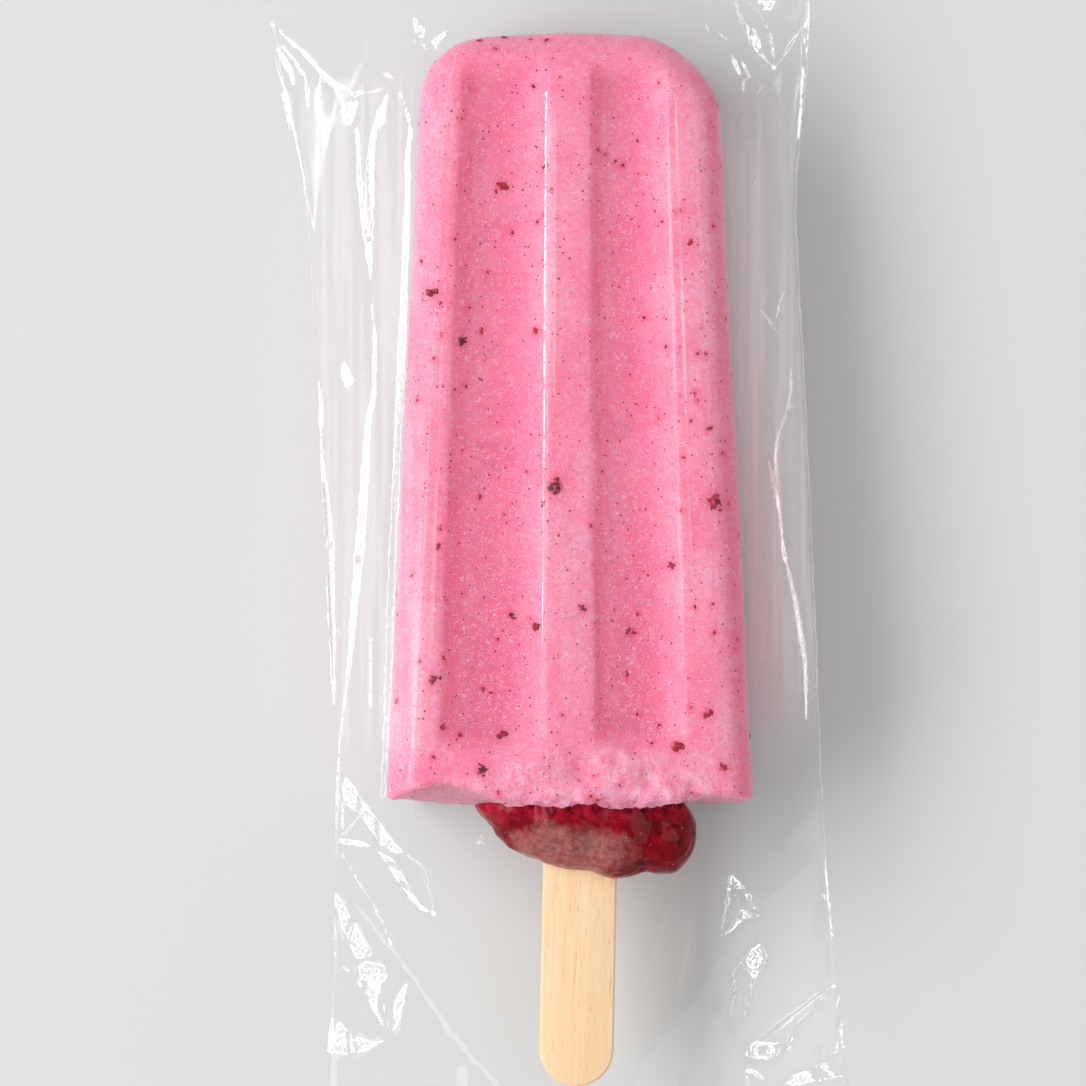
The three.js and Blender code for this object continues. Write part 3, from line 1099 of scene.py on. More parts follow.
# %% Build the lump
# place on the base and radii, in millimetres
MOUNDS = [
    ((1.6, -0.6, 0.4), (10.4, 8.6, 7.4)),
    ((-4.4, 0.2, 0.2), (8.0, 5.0, 6.2)),
    ((-2.0, -1.6, 0.2), (8.2, 6.4, 6.4)),
    ((6.4, -3.0, 0.6), (7.2, 7.2, 6.9)),
    ((11.6, -4.2, 1.2), (4.9, 5.3, 5.4)),
]
LUMP_VOXEL = 0.3
LUMP_CUT_Y = BASE_Y + 1.5


def edit_all(piece):
    """Enters edit mode with everything selected."""
    choose(piece)
    bpy.ops.object.mode_set(mode="EDIT")
    bpy.ops.mesh.select_all(action="SELECT")


base_middle = Vector((BODY_AXIS_X, BASE_Y, middle_z_at(BASE_Y)))
begin_piece()
mounds = []
for offset, radii in MOUNDS:
    bpy.ops.mesh.primitive_ico_sphere_add(
        subdivisions=5,
        radius=1,
        location=(base_middle + Vector(offset)) * MM,
        scale=Vector(radii) * MM,
    )
    mounds.append(bpy.context.object)
for mound in mounds:
    mound.select_set(True)
bpy.ops.object.join()
lump = bpy.context.object
lump.name = "frozen_berries"
settle(lump)
modify(lump, "REMESH", mode="VOXEL", voxel_size=LUMP_VOXEL * MM)
modify(lump, "SMOOTH", factor=0.5, iterations=6)
roughen(lump, "fruit_lobes", size=4.2, strength=0.8, depth=1)
roughen(lump, "fruit_flesh", size=1.2, strength=0.3, depth=3)
edit_all(lump)
bpy.ops.mesh.bisect(
    plane_co=(0, LUMP_CUT_Y * MM, 0), plane_no=(0, 1, 0), use_fill=True, clear_outer=True
)
leave_edit()
shade(lump, 60)
upright = np.array([vertex.normal.z for vertex in lump.data.vertices])
# how steep the surface is, from the top of the lump to its sides
store(lump, icy_rim=1 - smoothstep(upright, 0.12, 0.5))
print("lump faces:", len(lump.data.polygons), [round(v / MM, 1) for v in lump.dimensions])

# %% [markdown]
# The lump is dark and wet. It is brightest along the base, where juice has soaked into the yogurt,
# and a dull frosted patch lies on its left front, inside an egg-shaped limit with a ragged edge. A
# thin coat makes the wet gloss.

# %% Build the dark fruit material
FRUIT_RED = (0.30, 0.001, 0.010, 1.0)
FRUIT_BLACK = (0.10, 0.0006, 0.004, 1.0)
FRUIT_JUICE = (0.52, 0.012, 0.045, 1.0)
FRUIT_FROST = (0.44, 0.185, 0.18, 1.0)
FRUIT_ICE = (0.85, 0.5, 0.52, 1.0)
FROSTED_CENTRE = (0.6, -34.8, 17.0)
FROSTED_RADII = (8.0, 3.5, 9.0)


def vector_maths(tree, operation, first, second):
    return add_node(
        tree, "ShaderNodeVectorMath", {0: first, 1: second}, operation=operation
    ).outputs[0]


fruit_material, tree = start_material("frozen_fruit")
place = object_millimetres(tree)
dark = remap(tree, noise(tree, place, 0.5, 3.0, 0.6), 0.35, 0.65)
colour = mix_colour(tree, dark, FRUIT_RED, FRUIT_BLACK)
height_on_base = add_node(tree, "ShaderNodeSeparateXYZ", {0: place}).outputs["Y"]
juicy = remap(tree, height_on_base, BASE_Y - 3.2, BASE_Y - 1.2)
juice_noise = remap(tree, noise(tree, place, 0.7, 3.0, 0.6), 0.35, 0.6)
colour = mix_colour(tree, times(tree, juicy, juice_noise), colour, FRUIT_JUICE)
offset = vector_maths(tree, "SUBTRACT", place, FROSTED_CENTRE)
offset = vector_maths(tree, "DIVIDE", offset, FROSTED_RADII)
distance = add_node(tree, "ShaderNodeVectorMath", {0: offset}, operation="LENGTH").outputs["Value"]
ragged = remap(tree, noise(tree, place, 0.35, 4.0, 0.65), 0.3, 0.7, -0.22, 0.22)
frosted = remap(tree, plus(tree, distance, ragged), 0.75, 1.15, 1.0, 0.0)
patchy = remap(tree, noise(tree, place, 1.1, 4.0, 0.7), 0.35, 0.65, 0.35, 1.0)
patchy = times(tree, frosted, patchy)
colour = mix_colour(tree, times(tree, patchy, 0.8), colour, FRUIT_FROST)
# paler where the lump's surface turns steep, on its sides
colour = mix_stored(tree, colour, "icy_rim", 0.2, FRUIT_ICE)
ice_mask, ice_height = ice_on(tree, place, 0.35)
colour = mix_colour(tree, ice_mask, colour, FRUIT_ICE)
coat(
    lump,
    fruit_material,
    {
        "Base Color": colour,
        "Roughness": remap(tree, patchy, 0.0, 1.0, 0.16, 0.5),
        "Normal": bump_normal(tree, ice_height, strength=0.6, depth=0.15),
        "Subsurface Weight": 0.2,
        "Subsurface Radius": (1.0, 0.15, 0.2),
        "Subsurface Scale": 1.2 * MM,
        "Specular IOR Level": 0.04,
        "Coat Weight": 0.14,
        "Coat Roughness": 0.05,
    },
)

# %% [markdown]
# ## The stick
#
# A craft stick is stamped from a thin sheet of birch, so its faces are flat, its ends are half
# rounds, and its edges are only just eased. A flat block gets its four upright edges bevelled by
# nearly half its width, which makes the round ends, and then a fine bevel round the rim.

# %% Stamp the stick
STICK_LENGTH = 114.0
STICK_WIDTH = 9.6
STICK_THICKNESS = 2.0
STICK_END = (1.8, -65.5)
STICK_YAW = math.radians(-1.1)
STICK_PITCH = math.atan((BASE_THICKNESS - TIP_THICKNESS) / 2 / BODY_LENGTH)
STICK_EASE = 0.35
END_SEGMENTS, EASE_SEGMENTS = 16, 3


def is_upright(edge):
    first, second = (stick.data.vertices[index].co.z for index in edge.vertices)
    return abs(first - second) > MM


stick = add_block(
    "birch_stick",
    centre=(0, STICK_LENGTH / 2, 0),
    size=(STICK_WIDTH, STICK_LENGTH, STICK_THICKNESS),
)
bevel_where(stick, is_upright, STICK_WIDTH / 2 - 0.01, END_SEGMENTS)
angles = edge_angle(stick)
bevel_where(stick, lambda edge: angles.get(edge.index, 0) > RIM_ANGLE, STICK_EASE, EASE_SEGMENTS)
stick.rotation_euler = (-STICK_PITCH, 0, STICK_YAW)
stick.location = Vector((*STICK_END, middle_z_at(STICK_END[1]))) * MM
settle(stick)
shade(stick, 35)
print("stick, mm:", [round(v / MM, 1) for v in stick.dimensions])

# %% [markdown]
# Birch is pale, with fine straight grain, short dark flecks, and a few broad bands. Noise that is
# stretched along the stick makes all three. The places are turned first, so that the grain follows
# the stick.

# %% Build the birch material
BIRCH_PALE = (0.97, 0.72, 0.465, 1.0)
BIRCH_BAND = (0.95, 0.60, 0.31, 1.0)
BIRCH_FLECK = (0.60, 0.33, 0.15, 1.0)

birch_material, tree = start_material("birch")
place = object_millimetres(tree)
turned = add_node(
    tree, "ShaderNodeMapping", {"Vector": place, "Rotation": (0, 0, -STICK_YAW)}
).outputs[0]
broad = vector_maths(tree, "MULTIPLY", turned, (0.55, 0.018, 0.55))
fine = vector_maths(tree, "MULTIPLY", turned, (2.6, 0.09, 2.6))
fleck_place = vector_maths(tree, "MULTIPLY", turned, (4.2, 0.34, 4.2))
bands = remap(tree, noise(tree, broad, 1.0, 3.0, 0.6, 0.6), 0.35, 0.65)
fibres = noise(tree, fine, 1.0, 4.0, 0.65)
colour = mix_colour(tree, times(tree, bands, 0.45), BIRCH_PALE, BIRCH_BAND)
colour = mix_colour(tree, remap(tree, fibres, 0.44, 0.62, 0.0, 0.7), colour, BIRCH_BAND)
flecks = remap(tree, noise(tree, fleck_place, 1.0, 2.0, 0.5), 0.62, 0.72, 0.0, 0.45)
colour = mix_colour(tree, flecks, colour, BIRCH_FLECK)
coat(
    stick,
    birch_material,
    {
        "Base Color": colour,
        "Roughness": remap(tree, fibres, 0.3, 0.7, 0.55, 0.72),
        "Normal": bump_normal(tree, fibres, strength=0.35, depth=0.06),
        "Subsurface Weight": 0.08,
        "Subsurface Scale": 0.6 * MM,
    },
)

# %% [markdown]
# ## The film sleeve
#
# The sleeve is a flat tube of thin clear film. Lying empty it would be 71 mm wide, and the pop in
# it draws its sides in. Film can't stretch, so it lies tight over the ridges of the pop, hangs a
# little over the flutes, falls from the pop to the two folded sides, and crumples where it has too
# much length: at the corners and below the base.
#
# Cloth simulation would give soft folds, but film makes flat facets and sharp creases. So the two
# layers are grids whose points are placed by a few functions: first the smooth form, then the
# slack, then facets and creases laid one by one.

# %% Sizes of the sleeve and what holds it up
SLEEVE_HALF_LENGTH = 75.0
SLEEVE_HALF_WIDTH = 35.3
SLEEVE_DRAW_IN = 3.4
SLEEVE_TURN = 0.037
CENTRE_AT_TIP = -2.8
CENTRE_AT_MOUTH = 3.3
SEAM_SIDE_Z = 7.5
SEAM_END_Z = 9.5
PLATEAU = 0.4
FOLD_RADIUS = 0.3
END_GAP = 0.15
FILM_CLEARANCE = 0.25
STEEP_SLOPE = 0.85
GENTLE_SLOPE = 0.22
RIM_SPAN = 3.4
TIP_SUPPORT_Y = TIP_Y - 2.4
LOWEST = 0.08
# y, half width, height of the upper layer, height of the lower layer
SUPPORTS = np.array(
    [
        (-66.6, 5.5, 15.3, 5.2),
        (-41.5, 13.0, 20.4, 1.7),
        (
            BASE_Y - 1.6,
            BASE_HALF_WIDTH - RIM_SPAN,
            BACK_Z + BASE_THICKNESS + FILM_CLEARANCE,
            0.15,
        ),
        (
            TIP_Y - 12,
            half_width_at(TIP_Y - 12) - RIM_SPAN,
            BACK_Z + thickness_at(TIP_Y - 12) + FILM_CLEARANCE,
            0.15,
        ),
        (TIP_SUPPORT_Y, 14.5, BACK_Z + thickness_at(TIP_SUPPORT_Y) + FILM_CLEARANCE, 0.15),
    ]
)
print("flat sleeve, mm:", 2 * SLEEVE_HALF_WIDTH, "by", 2 * SLEEVE_HALF_LENGTH)

# %% The smooth form of the sleeve


def side_fall(out, drop, width):
    """Share of the way down at a side: steep first, then gentle, with a soft bend between."""
    mean = drop / width
    steep = np.maximum(mean, STEEP_SLOPE)
    gentle = np.minimum(mean, GENTLE_SLOPE)
    bend = np.clip((mean - gentle) / np.maximum(steep - gentle, 0.01), 0.1, 1)

    def fallen(share):
        past = share - bend
        return steep * share - (steep - gentle) * (past + np.sqrt(past**2 + 0.0012)) / 2

    return (fallen(out) - fallen(0.0)) / np.maximum(fallen(1.0) - fallen(0.0), 0.001)


def sleeve_sides(along):
    """The places of the two folded sides."""
    share = (SLEEVE_HALF_LENGTH - along) / (2 * SLEEVE_HALF_LENGTH)
    centre = lerp(CENTRE_AT_TIP, CENTRE_AT_MOUTH, 1 - np.clip(1 - share, 0, 1) ** 1.5)
    filled = smoothstep(share, 0, 0.2) * (1 - smoothstep(share, 0.68, 1.1))
    half = SLEEVE_HALF_WIDTH - SLEEVE_DRAW_IN * filled
    return centre - half, centre + half


def sleeve_form(column, along):
    """Both layers at a point of the grid: x, y, upper z, lower z and how far out it lies."""
    left, right = sleeve_sides(along)
    at = along + BODY_AXIS_X * SLEEVE_TURN
    half_width, height, floor_z = (np.interp(at, SUPPORTS[:, 0], SUPPORTS[:, i]) for i in (1, 2, 3))
    out = np.clip((np.abs(column) - PLATEAU) / (1 - PLATEAU), 0, 1)
    side = np.where(column < 0, left, right)
    rim = BODY_AXIS_X + np.sign(column) * half_width
    over = BODY_AXIS_X + column / PLATEAU * half_width
    x = np.where(out > 0, lerp(rim, side, out), over)
    across = (x - (left + right) / 2) / ((right - left) / 2)
    toward_end = smoothstep(np.abs(along), SLEEVE_HALF_LENGTH - 14, SLEEVE_HALF_LENGTH)
    seam = SEAM_SIDE_Z + (SEAM_END_Z - SEAM_SIDE_Z) * toward_end * np.clip(1 - across**2, 0, 1)
    end_zone = np.where(
        along > 0, SLEEVE_HALF_LENGTH - TIP_SUPPORT_Y, SLEEVE_HALF_LENGTH + SUPPORTS[0, 0]
    )
    to_end = np.clip((np.abs(along) - SLEEVE_HALF_LENGTH + end_zone) / end_zone, 0, 1)
    fall = side_fall(out, height - seam, np.abs(side - rim))
    lift = (1 - fall) * (1 - to_end**1.6)
    fold_start = 1 - FOLD_RADIUS / np.abs(side - rim)
    fold = np.sqrt(1 - np.clip((out - fold_start) / (1 - fold_start), 0, 1) ** 2)
    gap = lerp(FOLD_RADIUS, END_GAP, to_end) * fold
    upper = lerp(seam, height, lift) + gap
    lower = np.maximum(lerp(seam, floor_z, lift) - gap, LOWEST)
    return x, along + x * SLEEVE_TURN, upper, lower, out


left, right = sleeve_sides(np.zeros(1))
print("width at the middle, mm:", round(float(right[0] - left[0]), 1))

# %% [markdown]
# A grid with even spacing would waste points on the smooth film over the flutes. So the spacing
# changes: close together in the margins, at both ends and over the edges of the ridges, and wide
# apart elsewhere.

# %% Grids with uneven spacing


def stretched(stops):
    """Places between stops, each given with the number of steps up to it."""
    places = [stops[0][0]]
    for (start, _), (end, steps) in zip(stops, stops[1:]):
        places += list(np.linspace(start, end, steps + 1)[1:])
    return np.array(places)


def film_grid(name, columns, rows):
    """A grid primitive, and the row and the column of each of its points."""
    begin_piece()
    bpy.ops.mesh.primitive_grid_add(
        x_subdivisions=len(columns) - 1, y_subdivisions=len(rows) - 1, size=2
    )
    film = bpy.context.object
    film.name = name
    share = (read_points(film) * MM + 1) / 2
    column_index = np.rint(share[:, 0] * (len(columns) - 1)).astype(int)
    row_index = np.rint(share[:, 1] * (len(rows) - 1)).astype(int)
    return film, (row_index, column_index)


front_columns = stretched(
    [
        (-1, 0),
        (-0.4, 66),
        (-0.35, 10),
        (-0.1, 14),
        (-0.02, 18),
        (0.27, 16),
        (0.37, 20),
        (0.4, 3),
        (1, 62),
    ]
)
front_rows = stretched([(-75, 0), (-20, 176), (45, 140), (75, 116)])
back_columns = stretched([(-1, 0), (-0.4, 44), (0.4, 24), (1, 44)])
back_rows = stretched([(-75, 0), (-20, 110), (45, 80), (75, 70)])
print("front film points:", len(front_columns) * len(front_rows))

# %% [markdown]
# ## Slack, facets and creases
#
# Slack film waves softly, and in the margins its waves are stretched along the sleeve. Over the
# flutes the film hangs in a shallow curve, steepest at the edge of each ridge.
#
# A facet is a flat patch of film, tilted to the left, that ends in creases. Its outline is given,
# and inside it the film is made flat and is given its tilt. Just outside, the film returns to its
# form over a short way. A fold line is the same thing in a long narrow shape: a ramp across a line.
# Both keep how deep inside them each point lies, in millimetres. A number that changes evenly from
# point to point draws a clean edge, even where the edge runs between the points of the grid.

# %% Slopes and distances
FAR = 1e9


def slopes(x, y, z):
    """Slopes of the surface along x and along y, on a grid that isn't square."""
    x_r, x_c = np.gradient(x)
    y_r, y_c = np.gradient(y)
    z_r, z_c = np.gradient(z)
    area = x_r * y_c - x_c * y_r
    area = np.where(np.abs(area) < 1e-6, 1e-6, area)
    return (z_r * y_c - z_c * y_r) / area, (x_r * z_c - x_c * z_r) / area


def around(x, y, places, margin=0.0):
    """Which points of the grid lie in the box round some places."""
    low, high = np.min(places, axis=0) - margin, np.max(places, axis=0) + margin
    return (x > low[0]) & (x < high[0]) & (y > low[1]) & (y < high[1])


def falling(distance, reach):
    """1 at no distance, falling smoothly to 0 at the reach."""
    return smoothstep(1 - distance / reach, 0, 1)


def near_line(x, y, line):
    """For each point, by the nearest step of a line: the distance to the line with its side as the
    sign, the share of the line's length, how far past its end, and the direction across it."""
    best, found = np.full(x.shape, FAR), np.zeros((5, *x.shape))
    line = np.array(line, dtype=float)
    steps = np.linalg.norm(np.diff(line, axis=0), axis=1)
    starts = np.concatenate([[0], np.cumsum(steps)])
    for index, (start, end) in enumerate(zip(line, line[1:])):
        ahead = (end - start) / steps[index]
        right = np.array([ahead[1], -ahead[0]])
        if right[0] < 0:
            right = -right
        run = (x - start[0]) * ahead[0] + (y - start[1]) * ahead[1]
        inside = np.clip(run, 0, steps[index])
        off_x = x - start[0] - inside * ahead[0]
        off_y = y - start[1] - inside * ahead[1]
        gap = np.hypot(off_x, off_y)
        nearer = gap < best
        best = np.where(nearer, gap, best)
        signed, share = off_x * right[0] + off_y * right[1], (starts[index] + inside) / starts[-1]
        for kept, value in zip(found, (signed, share, np.abs(run - inside), *right)):
            np.copyto(kept, value, where=nearer)
    return found


# %% Folds and facets
GLINT_SLOPE = 0.45
STEEPEST_RAMP = 1.6
RAMP_REACH = 0.55
FACET_REACH = 0.7
# right of this place and above it the film lies in shadow
SHADED = (19.0, -30.0)


def glint_at(x, y):
    """The slope that mirrors a light: the softbox, or in the pop's shadow the white card."""
    return -GLINT_SLOPE if x > SHADED[0] and SHADED[1] < y < TIP_Y - 6 else GLINT_SLOPE


def lay_fold(x, y, z, gleam, slope_x, slope_y, widths, line):
    """Adds the ramp of one fold line to the heights, and marks it."""
    first, middle, last = widths
    reach = max(RAMP_REACH, 1.4 * max(widths))
    box = around(x, y, line, max(widths) + reach)
    signed, share, past, cross_x, cross_y = near_line(x[box], y[box], line)
    width = np.where(
        share < 0.5, lerp(first, middle, share * 2), lerp(middle, last, share * 2 - 1)
    )
    base = slope_x[box] * cross_x + slope_y[box] * cross_y
    tilt = np.clip(glint_at(*np.mean(line, axis=0)) - base, -STEEPEST_RAMP, STEEPEST_RAMP)
    half = width / 2
    ramp = np.clip(signed, -half, half)
    outside = np.maximum(np.abs(signed) - half, 0)
    z[box] += tilt * ramp * falling(outside, reach) * falling(past, 0.5)
    gleam[box] = np.maximum(gleam[box], half - np.hypot(signed, past))


def lay_facet(x, y, z, gleam, outline):
    """Flattens and tilts the film inside one outline, and marks it."""
    corners = np.array(outline, dtype=float)
    centre = corners.mean(axis=0)
    box = around(x, y, corners, FACET_REACH)
    px, py = x[box], y[box]
    inside = np.zeros(px.shape, dtype=bool)
    gap = np.full(px.shape, FAR)
    for start, end in zip(corners, np.roll(corners, -1, axis=0)):
        step = end - start
        run = ((px - start[0]) * step[0] + (py - start[1]) * step[1]) / (step @ step)
        run = np.clip(run, 0, 1)
        off_x, off_y = px - start[0] - run * step[0], py - start[1] - run * step[1]
        gap = np.minimum(gap, np.hypot(off_x, off_y))
        crosses = (start[1] > py) != (end[1] > py)
        with np.errstate(divide="ignore", invalid="ignore"):
            meets = start[0] + (py - start[1]) * step[0] / step[1]
        inside ^= crosses & (px < meets)
    nearest = np.argmin((px - centre[0]) ** 2 + (py - centre[1]) ** 2)
    flat = z[box][nearest] + glint_at(*centre) * (px - centre[0])
    share = np.where(inside, 1.0, falling(gap, FACET_REACH))
    z[box] = lerp(z[box], flat, share)
    gleam[box] = np.maximum(gleam[box], np.where(inside, gap, -gap))


# %% [markdown]
# The creases of this sleeve, in millimetres. Each fold line has its width at its start, its middle
# and its end, and then the points that it follows. Each facet is the outline of a flat patch.

# %% Fold lines
FINE, WIDER, OPEN = (0.26, 0.39, 0.26), (0.26, 0.52, 0.39), (0.26, 0.39, 0.39)
FOLD_LINES = [
    # left edge by the tip
    (OPEN, [(-38.2, 73.5), (-38.2, 70.2)]),
    ((0.39, 0.91, 0.91), [(-38.1, 70.1), (-37.3, 66.9), (-36.5, 64.1), (-35.2, 58.2),
     (-34.1, 52.4), (-33.7, 49), (-33.3, 43.2)]),
    ((0.91, 0.65, 0.26), [(-33.3, 43.2), (-32.9, 38), (-32.5, 32.1)]),
    ((0.26, 0.52, 1.04), [(-32, 27.9), (-31.6, 23.9), (-31.5, 17.4), (-31.2, 13.7), (-30.7, 9.8),
     (-30.3, 4.8)]),
    ((1.04, 0.91, 0.39), [(-30.3, 4.8), (-30.2, -1), (-30, -7.5), (-29.8, -16.1)]),
    (OPEN, [(-30.3, -14), (-30.2, -20.5), (-30.3, -28.3), (-30, -36.1)]),
    (OPEN, [(-28.3, -15.2), (-29, -20.4), (-29.4, -28.3), (-29.6, -35.5)]),
    # corner by the tip, left
    ((0.26, 0.39, 0.78), [(-38.1, 73.2), (-37.1, 72.3), (-35.6, 70.7), (-33.8, 69.3),
     (-32.6, 67.9), (-31.3, 66.4), (-30, 65.4)]),
    ((0.78, 0.39, 0.39), [(-31.3, 65.7), (-30, 65.1), (-28.3, 64.4), (-27, 63.7), (-26.1, 63.6),
     (-24.1, 63.8), (-22.4, 64.3)]),
    ((0.26, 0.91, 0.39), [(-37.3, 69.7), (-36.3, 68.2), (-35.5, 66.6), (-35.1, 65.1)]),
    ((0.26, 0.46, 0.39), [(-36.6, 70.2), (-35, 68.2), (-33.6, 66), (-33.3, 64.1), (-33.2, 62.1)]),
    ((0.26, 0.72, 0.39), [(-31.6, 65.4), (-32, 63.2), (-31.8, 61.1), (-31.3, 59.4), (-30.9, 57.7)]),
    (WIDER, [(-30, 65.1), (-29.1, 63.7), (-28.5, 62.4)]),
    ((0.26, 0.65, 0.39), [(-28.3, 64.4), (-27, 63.4), (-26.7, 62.1)]),
    # left margin
    ((0.39, 0.78, 0.65), [(-26.7, 59), (-26.5, 56.2), (-26.4, 52.9), (-26.1, 49.7), (-25.7, 45.1)]),
    ((0.65, 1.3, 1.3), [(-24.3, 59.1), (-24.7, 56.8), (-25, 52.9), (-25, 49.7), (-25.2, 44.5)]),
    ((1.17, 0.78, 0.13), [(-25.2, 44.5), (-25, 41.6), (-24.8, 39)]),
    ((0.26, 0.52, 0.52), [(-24.8, 36.3), (-24.3, 32.4), (-24.3, 27.7), (-24.4, 24.7)]),
    ((0.52, 1.04, 1.3), [(-24.4, 24.2), (-25.1, 21.3), (-25.4, 17.4), (-25.7, 12.3), (-26.1, 7.2),
     (-26.5, 2.9)]),
    ((1.17, 0.91, 0.26), [(-26.5, 2.9), (-26.8, -1), (-27.4, -7.5), (-27.8, -11.7),
     (-28.3, -15.3)]),
    (OPEN, [(-24.8, -7.5), (-24.8, -16.1)]),
    # along the body's left side
    ((0.26, 0.46, 0.52), [(-21.7, 64.2), (-20.5, 62.5), (-19.9, 59.9), (-19.6, 57.5)]),
    ((0.52, 1.04, 1.04), [(-19.8, 57.5), (-20, 54.9), (-20, 49.7), (-20.2, 43.2), (-20.6, 32.9),
     (-20.9, 25.2), (-21.3, 17.4), (-21.6, 9.8), (-21.9, 4.2)]),
    ((1.04, 1.04, 0.65), [(-21.9, 4.2), (-22.2, -3.2), (-22.4, -11.8), (-22.8, -20.4),
     (-23.2, -27.7)]),
    # corner by the tip, right
    ((0.39, 0.78, 0.39), [(22.7, 75.7), (23, 74), (23.9, 72), (24.7, 70.2), (25.8, 68.7),
     (27.5, 67)]),
    ((0.26, 0.46, 0.26), [(24.5, 75.5), (25.7, 74.4), (26.8, 72), (27.3, 70.2), (27.6, 67.4)]),
    (FINE, [(27.6, 66.7), (29, 68.7), (30.3, 70.9), (32, 73.2)]),
    ((0.39, 0.65, 0.39), [(32, 75.7), (31.9, 73.2), (31.6, 69.8), (31.5, 67.4)]),
    ((0.39, 0.39, 0.26), [(31.5, 67.4), (31.3, 64.1), (31.1, 60.7), (30.9, 58.2)]),
    ((0.26, 0.52, 0.26), [(22, 68.2), (22.5, 67.1), (23, 66)]),
    (FINE, [(23, 67.9), (23.7, 66.8), (24.3, 65.7)]),
    (FINE, [(23.5, 63.4), (23.5, 65), (24.7, 65.7)]),
    (FINE, [(24.8, 65.7), (26, 64.4), (25.4, 63.4)]),
    (FINE, [(18.7, 72.3), (19, 71.2)]),
    (FINE, [(20, 71.4), (21.3, 70.3)]),
    (FINE, [(24.7, 52.3), (25.5, 51.1)]),
    # right margin
    ((0.26, 0.46, 0.39), [(29.8, 28.2), (29.9, 25.2), (29.4, 22.6), (28.1, 19.2), (27.7, 16.2),
     (28.1, 11.1), (28.9, 2.9)]),
    (FINE, [(26.8, 15.9), (27.4, 12.9), (28.1, 9.8)]),
    (FINE, [(29.4, 22.6), (31.1, 23.3)]),
    (FINE, [(25.6, 35.5), (26.8, 34.1), (27.9, 32.6)]),
    (FINE, [(29, 38), (28.3, 36.3), (27.9, 34.2)]),
    ((0.39, 0.78, 0.39), [(28.7, 4.8), (30.4, -2.5), (31.7, -10.4), (31.9, -17.9)]),
    # below the base, left
    (FINE, [(-28.6, -28.8), (-28.7, -33.1)]),
    (WIDER, [(-20.3, -35), (-18.2, -36.4), (-17.6, -38.3), (-17.1, -40.7), (-16.5, -43.1)]),
    (FINE, [(-28.4, -32.9), (-26.3, -30.4)]),
    (FINE, [(-28.7, -35.6), (-26.5, -39.1), (-24.6, -42.1), (-23.3, -44.8), (-22, -47.7)]),
    (FINE, [(-29.9, -40.2), (-29.7, -49.1)]),
    (WIDER, [(-29.2, -50), (-27.4, -51.2), (-25.7, -53.4), (-24.4, -55.8), (-22.5, -59.5)]),
    (FINE, [(-23.6, -53.7), (-23, -56.3), (-22.5, -59.4)]),
    ((0.26, 0.46, 0.26), [(-29.8, -56.1), (-30.5, -61)]),
    ((0.26, 0.52, 0.26), [(-14.4, -31), (-13.6, -33.1)]),
    # below the base, right
    ((0.26, 0.65, 0.26), [(21.7, -38), (21.6, -40.7), (21, -44.1), (20.7, -46.1)]),
    (FINE, [(24.2, -41.5), (25.9, -43.4)]),
    (FINE, [(22.4, -40.5), (23.2, -42.5)]),
    ((0.39, 0.58, 0.39), [(23.4, -49.7), (22.3, -50.9), (22.6, -53.9), (21.9, -56.4)]),
    ((0.65, 0.78, 0.39), [(25.2, -51.1), (24.6, -52.9), (24.2, -55), (23.8, -56.8)]),
    (FINE, [(34, -40.7), (35, -42.3)]),
    (WIDER, [(34.8, -44.7), (35.8, -46.8)]),
    ((0.26, 0.52, 0.26), [(35.9, -47.6), (36, -49.7)]),
    (FINE, [(36.3, -49.7), (36.6, -51.5)]),
    ((0.39, 0.78, 0.78), [(36.6, -52.4), (33.9, -53.6), (30.9, -56), (26.4, -59.4), (24.1, -61.7)]),
    ((0.39, 1.04, 1.17), [(34.4, -54.1), (32.6, -56.4), (30.9, -58), (29.7, -60.3), (26.8, -61.8)]),
    ((0.39, 0.91, 0.39), [(36.8, -52.5), (36.4, -55), (36.1, -57), (36.2, -59.4)]),
    (WIDER, [(23.6, -63.3), (25.4, -64.1), (26.2, -64.7)]),
    (WIDER, [(23.7, -63.7), (24.2, -65.5), (24.4, -67.3)]),
]
print("fold lines:", len(FOLD_LINES))

